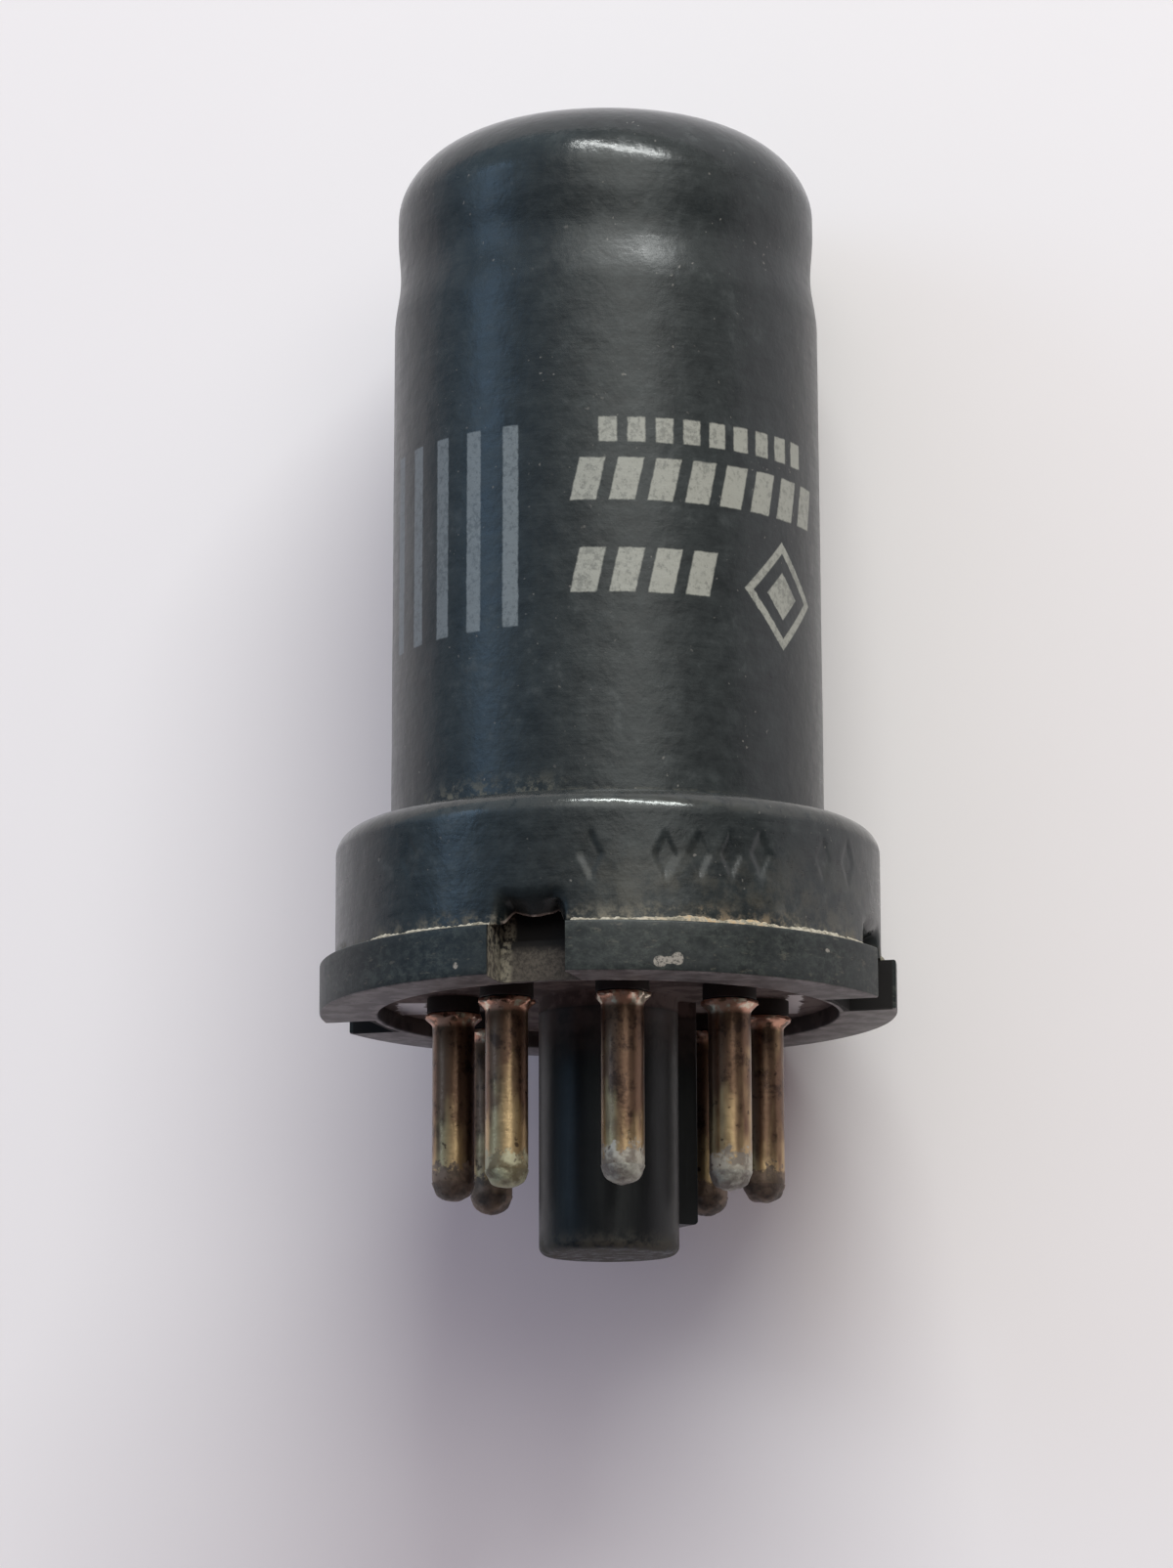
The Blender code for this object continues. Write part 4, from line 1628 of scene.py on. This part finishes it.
@dataclass
class BaseMoulding:
    """The moulded wafer with its recess, bosses, notches, hollow plug and key."""

    rim_radius: float = 0.01625
    rim_height: float = 0.0028
    spigot_radius: float = 0.01448
    top: float = 0.0046
    ring_width: float = 0.0033
    recess: float = 0.00095
    boss_radius: float = 0.00149
    hole_radius: float = 0.00129
    notch_depth: float = 0.0028
    notch_half: float = 0.0022
    lock_depth: float = 0.00055
    lock_ledge: float = 0.0022
    plug_radius: float = 0.00392
    plug_reach: float = 0.0135
    plug_edge: float = 0.0005
    plug_bore: float = 0.00302
    plug_floor: float = 0.0015
    key_stand: float = 0.00115
    key_width: float = 0.0022
    key_shortfall: float = 0.00185
    key_sunk: float = 0.00045
    key_end_edge: float = 0.0003
    key_side_edge: float = 0.00012
    key_azimuth: float = math.radians(133.5)
    pin_circle: float = 0.008725
    ease: float = 0.00012
    boss_ease: float = 0.00010
    root_fillet: float = 0.0002
    hub: float = 0.0004
    sides: int = 240
    small_sides: int = 40

    def outline(self) -> list[Point]:
        """Work out the moulding's outside and its plug's bore.

        Returns:
            (radius, height) points from the bore's floor round to the tip.
        """
        ease = self.ease
        inner = self.rim_radius - self.ring_width
        tip = -self.plug_reach
        root = self.recess - self.root_fillet
        nose = tip + self.plug_edge
        points = [(self.hub, tip + self.plug_floor), (self.plug_bore, tip + self.plug_floor)]
        points += [(self.plug_bore, self.top), (self.spigot_radius, self.top)]
        points += [(self.spigot_radius, self.rim_height)]
        points += [(self.rim_radius - ease, self.rim_height)]
        points += arc((self.rim_radius - ease, self.rim_height - ease), ease, ease, QUARTER, 0.0, 3)[1:]
        points += straight((self.rim_radius, self.rim_height - ease), (self.rim_radius, ease), 6)[1:]
        points += arc((self.rim_radius - ease, ease), ease, ease, 0.0, -QUARTER, 3)[1:]
        points += [(inner + ease, 0.0)]
        points += arc((inner + ease, ease), ease, ease, -QUARTER, -2 * QUARTER, 3)[1:]
        points += [(inner, self.recess), (self.plug_radius + self.root_fillet, self.recess)]
        points += [(self.plug_radius + self.root_fillet * 0.3, self.recess - self.root_fillet * 0.3)]
        points += straight((self.plug_radius, root), (self.plug_radius, nose), 6)
        points += arc((self.plug_radius - self.plug_edge, nose), self.plug_edge, self.plug_edge,
                      0.0, -QUARTER, 6)[1:]
        points += [(self.hub, tip)]
        return points

    def key(self) -> bpy.types.Object:
        """Model the locating key, its outer edges rounded.

        Returns:
            The key.
        """
        middle = (self.recess + self.top) / 2
        foot = -self.plug_reach + self.key_shortfall
        outer = self.plug_radius + self.key_stand
        block = Modeller.block(
            self.plug_bore + self.key_sunk, outer, self.key_width / 2, foot, middle, self.key_azimuth,
        )
        bpy.ops.object.mode_set(mode="EDIT")
        bpy.ops.mesh.select_mode(type="EDGE")
        bpy.ops.mesh.select_all(action="DESELECT")
        bpy.ops.object.mode_set(mode="OBJECT")
        self.round_key(block, self.key_end_edge, lambda low, high: high < foot + SKIN)
        self.round_key(block, self.key_side_edge, lambda low, high: high - low > 10 * SKIN)
        return block

    def round_key(self, block: bpy.types.Object, width: float,
                  wanted: Callable[[float, float], bool]) -> None:
        """Round some of the key's outer edges.

        Args:
            block: the key.
            width: how wide the rounding is.
            wanted: tells an edge to round by its lowest and highest heights.
        """
        near = self.plug_radius + self.key_stand / 2
        spots = block.data.vertices
        for edge in block.data.edges:
            ends = [spots[v].co for v in edge.vertices]
            heights = sorted(end.z for end in ends)
            edge.select = all(end.xy.length > near for end in ends) and wanted(*heights)
        bpy.ops.object.mode_set(mode="EDIT")
        bpy.ops.mesh.bevel(offset=width, segments=4, affect="EDGES")
        bpy.ops.mesh.select_all(action="DESELECT")
        bpy.ops.object.mode_set(mode="OBJECT")

    def build(self, pin_azimuths: Sequence[float]) -> None:
        """Model, dress and place the moulding.

        Args:
            pin_azimuths: where the pins pass it.
        """
        piece = Modeller.turned("base_moulding", self.outline(), self.sides)
        middle = (self.recess + self.top) / 2
        ease = self.boss_ease
        boss = Modeller.turned("boss", [
            (self.boss_radius - ease, 0.0), (self.boss_radius - ease * 0.3, ease * 0.3),
            (self.boss_radius, ease), (self.boss_radius, middle),
        ], self.small_sides)
        hole = Modeller.turned("hole", [
            (self.hole_radius, -self.rim_height), (self.hole_radius, 2 * self.top),
        ], self.small_sides)
        for tool in (boss, hole):
            Modeller.shape(tool, lambda spot: spot + on_circle(self.pin_circle, 0.0))
        Modeller.combine(piece, Operation.ADD, Modeller.around(boss, pin_azimuths))
        Modeller.combine(piece, Operation.ADD, self.key())
        Modeller.combine(piece, Operation.CUT, Modeller.around(hole, pin_azimuths))
        floor = self.rim_radius - self.notch_depth
        beyond = 2 * self.rim_radius
        quarters = [i * QUARTER for i in range(4)]
        notch = Modeller.block(floor, beyond, self.notch_half, -self.rim_height, self.lock_ledge, 0.0)
        Modeller.combine(piece, Operation.CUT, Modeller.around(notch, quarters))
        back = floor - self.lock_depth
        lock = Modeller.block(back, beyond, self.notch_half, self.lock_ledge, 2 * self.top, 0.0)
        Modeller.combine(piece, Operation.CUT, Modeller.around(lock, quarters))
        Modeller.lay(piece, PhenolicFinish().build(), "phenolic", "octal_base", sharp=32.0)


@dataclass
class DustCrust:
    """Dirt packed in the corner between the base rim's ledge and the skirt."""

    skirt: float = Header.radius
    ledge: float = BaseMoulding.rim_height
    reach: float = 0.00027
    gap: float = 0.000004
    least: float = 0.18
    greatest: float = 2.1
    notch_half: float = 0.0023
    cut_radii: Point = (0.0145, 0.0175)
    cut_heights: Point = (0.002, 0.005)
    section: tuple[Point, ...] = ((0.0, 0.0), (1.0, 0.0), (0.8, 0.45), (0.35, 0.8), (0.0, 1.0))
    sides: int = 900

    def build(self) -> None:
        """Model, dress and place the crust."""
        inner = self.skirt + self.gap
        low = self.ledge + self.gap
        outline = [(inner + self.reach * out, low + self.reach * up) for out, up in self.section]
        piece = Modeller.turned("dust_crust", outline, self.sides, ring=True)

        def crumble(spot: Vector) -> Vector:
            """Make the ring uneven, and fuller on the side that the photograph shows so.

            Args:
                spot: a vertex.

            Returns:
                Its place.
            """
            radius = spot.xy.length
            azimuth = azimuth_of(spot) - FACING
            way = Vector((math.sin(azimuth), math.cos(azimuth), 0.0))
            slow = noise.noise(way * 9.0)
            fast = noise.noise(way * 60.0 + Vector((spot.z * 2500, 3.1, 0.0)))
            quick = noise.noise(way * 190.0 + Vector((spot.z * 6000, 7.7, 0.0)))
            degrees = math.degrees((azimuth + math.pi) % (2 * math.pi) - math.pi)
            amount = 0.90 + 0.55 * slow + 0.35 * fast + 0.16 * quick
            amount += 0.35 * smooth(degrees, 5.0, 20.0) * (1 - smooth(degrees, 60.0, 72.0))
            amount = min(self.greatest, max(self.least, amount))
            out = inner + (radius - inner) * amount
            return Vector((spot.x * out / radius, spot.y * out / radius, low + (spot.z - low) * amount))

        Modeller.shape(piece, crumble)
        gap = Modeller.around(
            Modeller.block(*self.cut_radii, self.notch_half, *self.cut_heights, 0.0),
            [i * QUARTER for i in range(4)],
        )
        Modeller.combine(piece, Operation.CUT, gap)
        Modeller.lay(piece, CrustFinish().build(), "header_paint", sharp=60.0)


@dataclass
class Pins:
    """Eight hollow pins with flared collars, and the solder on each tip."""

    circle: float = BaseMoulding.pin_circle
    radius: float = 0.00119
    wall: float = 0.00034
    reach: float = 0.0101
    nose: float = 0.0008
    collar_lip: float = 0.00045
    collar_height: float = 0.00065
    flare_lip: float = 0.0004
    flare_height: float = 0.0003
    gap: float = 0.00005
    wafer_top: float = BaseMoulding.top
    lip_edge: float = 0.00005
    solder_height: float = 0.00125
    solder_swell: float = 0.00006
    solder_overlap: float = 0.0006
    solder_plug: float = 0.00025
    waver: float = 0.00002
    coarse_dent: float = 0.00013
    fine_dent: float = 0.00003
    least_dent: float = 0.00004
    sides: int = 64
    key_azimuth: float = BaseMoulding.key_azimuth

    def azimuths(self) -> list[float]:
        """Where the pins stand, numbered clockwise from the key as seen from below."""
        return [self.key_azimuth + (number + 0.5) * QUARTER / 2 for number in range(8)]

    def tones(self) -> list[SolderTone]:
        """Choose the solder's tone on each pin by where the pin faces.

        Returns:
            The tones, pin 1 first.
        """
        tones = []
        for azimuth in self.azimuths():
            facing = math.degrees((azimuth - FACING + math.pi) % (2 * math.pi) - math.pi)
            if -15 < facing < 70:
                tones.append(SolderTone.PALE)
            elif -60 < facing <= -15:
                tones.append(SolderTone.YELLOWED)
            elif abs(facing) > 160:
                tones.append(SolderTone.DARK)
            else:
                tones.append(SolderTone.BROWN)
        return tones

    def pin_outline(self) -> list[Point]:
        """Work out a pin's section.

        Returns:
            Its ring of (radius, height) points, from the flare down to the nose and back up the bore.
        """
        bore = self.radius - self.wall
        foot = self.wafer_top + self.gap
        top = -self.gap
        lip = self.radius + self.collar_lip
        centre = (self.radius - self.nose, -(self.reach - self.nose))
        flare = self.radius + self.flare_lip
        points = [(bore, foot + self.flare_height), (flare, foot + self.flare_height / 2), (flare, foot)]
        points += [(self.radius, foot), (self.radius, top), (lip - self.lip_edge, top)]
        points += [(lip, top - self.lip_edge), (lip, top - self.collar_height / 3)]
        for run in (0.15, 0.3, 0.5, 0.7, 0.85, 1.0):
            out = self.radius + self.collar_lip * (1 - run) ** 1.5
            points.append((out, top - self.collar_height * (1 + 2 * run) / 3))
        points += straight((self.radius, top - self.collar_height), (self.radius, centre[1]), 18)[1:]
        points += arc(centre, self.nose, self.nose, 0.0, -QUARTER, 8)[1:]
        inner = self.nose - self.wall
        points += arc(centre, inner, inner, -QUARTER, 0.0, 5)
        return points

    def solder_outline(self) -> list[Point]:
        """Work out a solder tip's section.

        Returns:
            (radius, height) points from inside the pin's hole round the wrap to the tip.
        """
        hole = self.radius - self.nose
        centre = -(self.reach - self.nose)
        edge = -self.reach + self.solder_overlap
        wrap = self.nose + self.gap
        start = math.asin((centre - edge) / wrap)
        inside = -self.reach + self.wall - self.solder_plug / 2
        points = [(0.00004, inside), (hole - self.gap, inside), (hole - self.gap, -self.reach - self.gap)]
        points += arc((hole, centre), wrap, wrap, -QUARTER, -start, 8)
        swollen = self.radius + self.solder_swell
        points += arc((0.0, edge), swollen, self.solder_height, 0.0, -QUARTER, 16)[:-1]
        points += [(0.00006, edge - self.solder_height)]
        return points

    def lumpy(self, seed: float, flat: float) -> Callable[[Vector], Vector]:
        """Make the rule that dents the outside of a solder tip, never beyond its solid.

        Args:
            seed: what sets this tip apart.
            flat: how much its end is flattened.

        Returns:
            The rule.
        """
        edge = -self.reach + self.solder_overlap
        swollen = self.radius + self.solder_swell

        def move(spot: Vector) -> Vector:
            """Pull the outer faces in by uneven amounts.

            Args:
                spot: a vertex.

            Returns:
                Its place.
            """
            drop = spot.z - edge
            shell = math.hypot(spot.xy.length / swollen, drop / self.solder_height)
            if drop > MERGE / 2 or shell < 0.93:
                return spot
            coarse = self.coarse_dent * (0.5 + 0.5 * wave_at(spot, 1300, 1300, seed))
            fine = self.fine_dent * wave_at(spot, 4200, 4200, seed)
            dent = max(0.0, coarse + fine) * smooth(-drop, -0.00001, 0.0004)
            pull = 1 - (dent + self.least_dent) / 0.0012
            squash = flat * smooth(-drop, self.solder_height * 0.5, self.solder_height)
            return Vector((spot.x * pull, spot.y * pull, edge + drop * pull * (1 - squash)))

        return move

    def build(self) -> None:
        """Model, dress and place the pins and their solder."""
        brasses = {tone: BrassFinish(tone).build() for tone in SolderTone}
        solders = {tone: SolderFinish(tone).build() for tone in SolderTone}
        pin = Modeller.turned("pin_pattern", self.pin_outline(), self.sides, ring=True)
        tip = Modeller.turned("tip_pattern", self.solder_outline(), self.sides)
        for number, (azimuth, tone) in enumerate(zip(self.azimuths(), self.tones()), start=1):
            copy = self.twin(pin, f"pin_{number}")
            seed = number * 7.3

            def dent(spot: Vector, seed: float = seed) -> Vector:
                """Dent a pressed pin slightly, its collar's lip more.

                Args:
                    spot: a vertex.
                    seed: what sets this pin apart.

                Returns:
                    Its place, never further out.
                """
                lip = spot.xy.length - self.radius
                if lip < -SKIN or spot.z > self.wafer_top:
                    return spot
                depth = abs(wave_at(spot, 900, 500, seed)) * self.waver
                if lip > SKIN / 10:
                    depth += abs(wave_at(spot, 1100, 1700, seed)) * lip * 0.9
                return drawn_in(spot, depth)

            Modeller.shape(copy, dent)
            self.stand(copy, azimuth)
            Modeller.lay(copy, brasses[tone], "pin_brass", f"base_pin_{number}", sharp=55.0)
            drop = self.twin(tip, f"solder_{number}")
            Modeller.shape(drop, self.lumpy(seed, 0.06 + 0.03 * (number % 3)))
            self.stand(drop, azimuth)
            Modeller.lay(drop, solders[tone], "solder", f"solder_tip_{number}", sharp=60.0)
        for pattern in (pin, tip):
            bpy.data.objects.remove(pattern)

    @staticmethod
    def twin(pattern: bpy.types.Object, name: str) -> bpy.types.Object:
        """Copy a pattern with its mesh.

        Args:
            pattern: the piece to copy.
            name: the copy's name.

        Returns:
            The copy.
        """
        copy = pattern.copy()
        copy.data = pattern.data.copy()
        copy.name = name
        copy.data.name = name
        bpy.context.scene.collection.objects.link(copy)
        return copy

    def stand(self, piece: bpy.types.Object, azimuth: float) -> None:
        """Move a piece from the axis to its place on the pin circle, turned to face out.

        Args:
            piece: the pin or its solder.
            azimuth: where it stands.
        """
        turn = Matrix.Rotation(azimuth, 3, "Z")
        place = on_circle(self.circle, azimuth)
        Modeller.shape(piece, lambda spot: turn @ spot + place)


@dataclass
class InnerParts:
    """The CAD nodes inside the base that stay as they are and get their finishes."""

    nodes: dict[str, bpy.types.Object]

    def dress(self, finish: bpy.types.Material, *names: str) -> None:
        """Give CAD nodes one finish.

        Args:
            finish: the material.
            *names: the nodes.
        """
        for name in names:
            for slot in self.nodes[name].material_slots:
                slot.material = finish
            LOG.info("%-18s dressed", name)

    def build(self) -> None:
        """Dress the insert, the glass button, the exhaust tube, the shield and the leads."""
        leads = [f"lead_wire_{number}" for number in range(1, 9)]
        self.dress(SealGlassFinish().build(), "glass_button_seal")
        for name, bright, dull, roughness, nodes in (
            ("insert_alloy_clouded", (0.50, 0.48, 0.46), (0.30, 0.29, 0.27), 0.28, ["header_insert"]),
            ("exhaust_steel_clouded", (0.44, 0.42, 0.39), (0.25, 0.22, 0.20), 0.34, ["exhaust_tube"]),
            ("shield_steel_clouded", (0.48, 0.47, 0.44), (0.28, 0.27, 0.25), 0.34, ["base_shield"]),
            ("lead_metal_clouded", (0.52, 0.47, 0.40), (0.33, 0.28, 0.24), 0.30, leads),
        ):
            self.dress(BareMetalFinish(name, bright, dull, roughness).build(), *nodes)


@dataclass(frozen=True)
class PhotoCamera:
    """The camera's place in tube coordinates, before its turn about the tube's axis."""

    side: float = -0.001192
    distance: float = 0.300
    height: float = -0.045170
    pitch: float = math.radians(11.032)
    roll: float = math.radians(-0.167)
    focal_px: float = 5508.98
    image_width: int = 1200
    sensor: float = 36.0

    def place(self) -> None:
        """Add the camera and make it the scene's."""
        forward = Vector((0.0, math.cos(self.pitch), math.sin(self.pitch)))
        up = Vector((0.0, -math.sin(self.pitch), math.cos(self.pitch)))
        axes = Matrix((Vector((1.0, 0.0, 0.0)), up, -forward)).transposed().to_4x4()
        spot = Matrix.Translation((self.side, -self.distance, self.height))
        lens = bpy.data.cameras.new("photo_camera")
        lens.sensor_fit = "HORIZONTAL"
        lens.sensor_width = self.sensor
        lens.lens = self.sensor * self.focal_px / self.image_width
        lens.clip_start = 0.01
        camera = bpy.data.objects.new("photo_camera", lens)
        bpy.context.scene.collection.objects.link(camera)
        turn = Matrix.Rotation(FACING, 4, "Z")
        roll = Matrix.Rotation(self.roll, 4, "Z")
        camera.matrix_world = STANCE.matrix() @ turn @ spot @ axes @ roll
        bpy.context.scene.camera = camera


@dataclass(frozen=True)
class Lamp:
    """One soft rectangular lamp."""

    name: str
    place: tuple[float, float, float]
    width: float
    height: float
    power: float
    colour: Colour
    aim: tuple[float, float, float] = (0.0, 0.0, 0.015)

    def hang(self) -> None:
        """Add the lamp, aimed at the tube."""
        data = bpy.data.lights.new(self.name, "AREA")
        data.shape = "RECTANGLE"
        data.size = self.width
        data.size_y = self.height
        data.energy = self.power
        data.color = self.colour
        lamp = bpy.data.objects.new(self.name, data)
        lamp.location = self.place
        lamp.rotation_euler = (Vector(self.aim) - lamp.location).to_track_quat("-Z", "Y").to_euler()
        bpy.context.scene.collection.objects.link(lamp)


@dataclass(frozen=True)
class SoftRoom:
    """Light of the room: dim behind the camera, brighter towards the wall beyond the dome."""

    near: float = 0.10
    near_left: float = 0.30
    far: float = 0.80
    dim_until: float = 0.12
    bright_from: float = 0.38
    left_until: Point = (-0.65, -0.25)
    cool_until: Point = (-0.7, 0.3)
    left: Colour = (0.58, 0.80, 1.0)
    right: Colour = (0.98, 1.0, 0.95)
    bounce: Colour = (1.0, 0.81, 0.88)
    fill: Colour = (0.105, 0.066, 0.066)
    backdrop: Colour = (0.80, 0.80, 0.80)

    def build(self) -> None:
        """Make it the scene's world."""
        world = bpy.data.worlds.new("soft_room")
        world.use_nodes = True
        nodes = Nodes(world.node_tree)
        east, north, _ = nodes.parts(nodes.node("ShaderNodeTexCoord").outputs["Generated"])
        sides = nodes.step(east, *self.left_until, self.near_left, self.near)
        glow = nodes.node("ShaderNodeVectorMath", operation="SCALE")
        nodes.feed(glow.inputs[0], nodes.mix(nodes.step(east, *self.cool_until), self.left, self.right))
        nodes.feed(glow.inputs["Scale"], nodes.step(north, self.dim_until, self.bright_from, sides, self.far))
        soft = nodes.node("ShaderNodeVectorMath", operation="MULTIPLY_ADD")
        for socket, value in zip(soft.inputs, (glow.outputs[0], self.bounce, self.fill)):
            nodes.feed(socket, value)
        rays = nodes.node("ShaderNodeLightPath")
        light = nodes.mix(rays.outputs["Is Glossy Ray"], soft.outputs[0], glow.outputs[0])
        background = nodes.node("ShaderNodeBackground")
        nodes.feed(background.inputs["Color"], nodes.mix(rays.outputs["Is Camera Ray"], light, self.backdrop))
        output = nodes.node("ShaderNodeOutputWorld")
        nodes.tree.links.new(background.outputs[0], output.inputs["Surface"])
        bpy.context.scene.world = world


@dataclass
class Studio:
    """Pale floor, soft lamps and the room round them."""

    floor_colour: Colour = (0.82, 0.82, 0.81)
    floor_size: float = 3.0
    fibre: float = 0.012
    fibre_shade: float = 0.985
    lamps: tuple[Lamp, ...] = (
        Lamp("window_beyond_dome", (0.27, 0.66, 0.44), 0.62, 0.085, 6.6, (0.97, 1.0, 0.985)),
        Lamp("soft_right", (0.26, 0.38, 0.64), 0.74, 0.34, 1.35, (0.98, 1.0, 0.95)),
        Lamp("cool_left", (-0.50, 0.27, 0.41), 0.28, 0.14, 0.42, (0.42, 0.67, 1.0)),
    )

    def build(self) -> None:
        """Lay the floor, hang the lamps and set the world."""
        Modeller.clear_selection()
        bpy.ops.mesh.primitive_plane_add(size=self.floor_size, location=(0.0, 0.0, 0.0))
        floor = bpy.context.object
        floor.name = "paper"
        graph = Graph("pale_paper")
        space = graph.node("ShaderNodeTexCoord").outputs["Object"]
        fibres = graph.grain(space, self.fibre, 3.0)
        shade = tuple(part * self.fibre_shade for part in self.floor_colour)
        colour = graph.mix(fibres, shade, self.floor_colour)
        floor.data.materials.append(graph.surface(colour, 0.9, 0.0))
        for lamp in self.lamps:
            lamp.hang()
        SoftRoom().build()


def main() -> None:
    """Build the looks round the frame."""
    logging.basicConfig(level=logging.INFO, format="%(message)s")
    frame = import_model()
    bpy.context.scene.view_settings.view_transform = "Standard"
    PhotoCamera().place()
    Studio().build()
    pins = Pins()
    Can().build()
    Header().build()
    DustCrust().build()
    BaseMoulding().build(pins.azimuths())
    pins.build()
    InnerParts(frame["nodes"]).build()


if __name__ == "__main__":
    main()
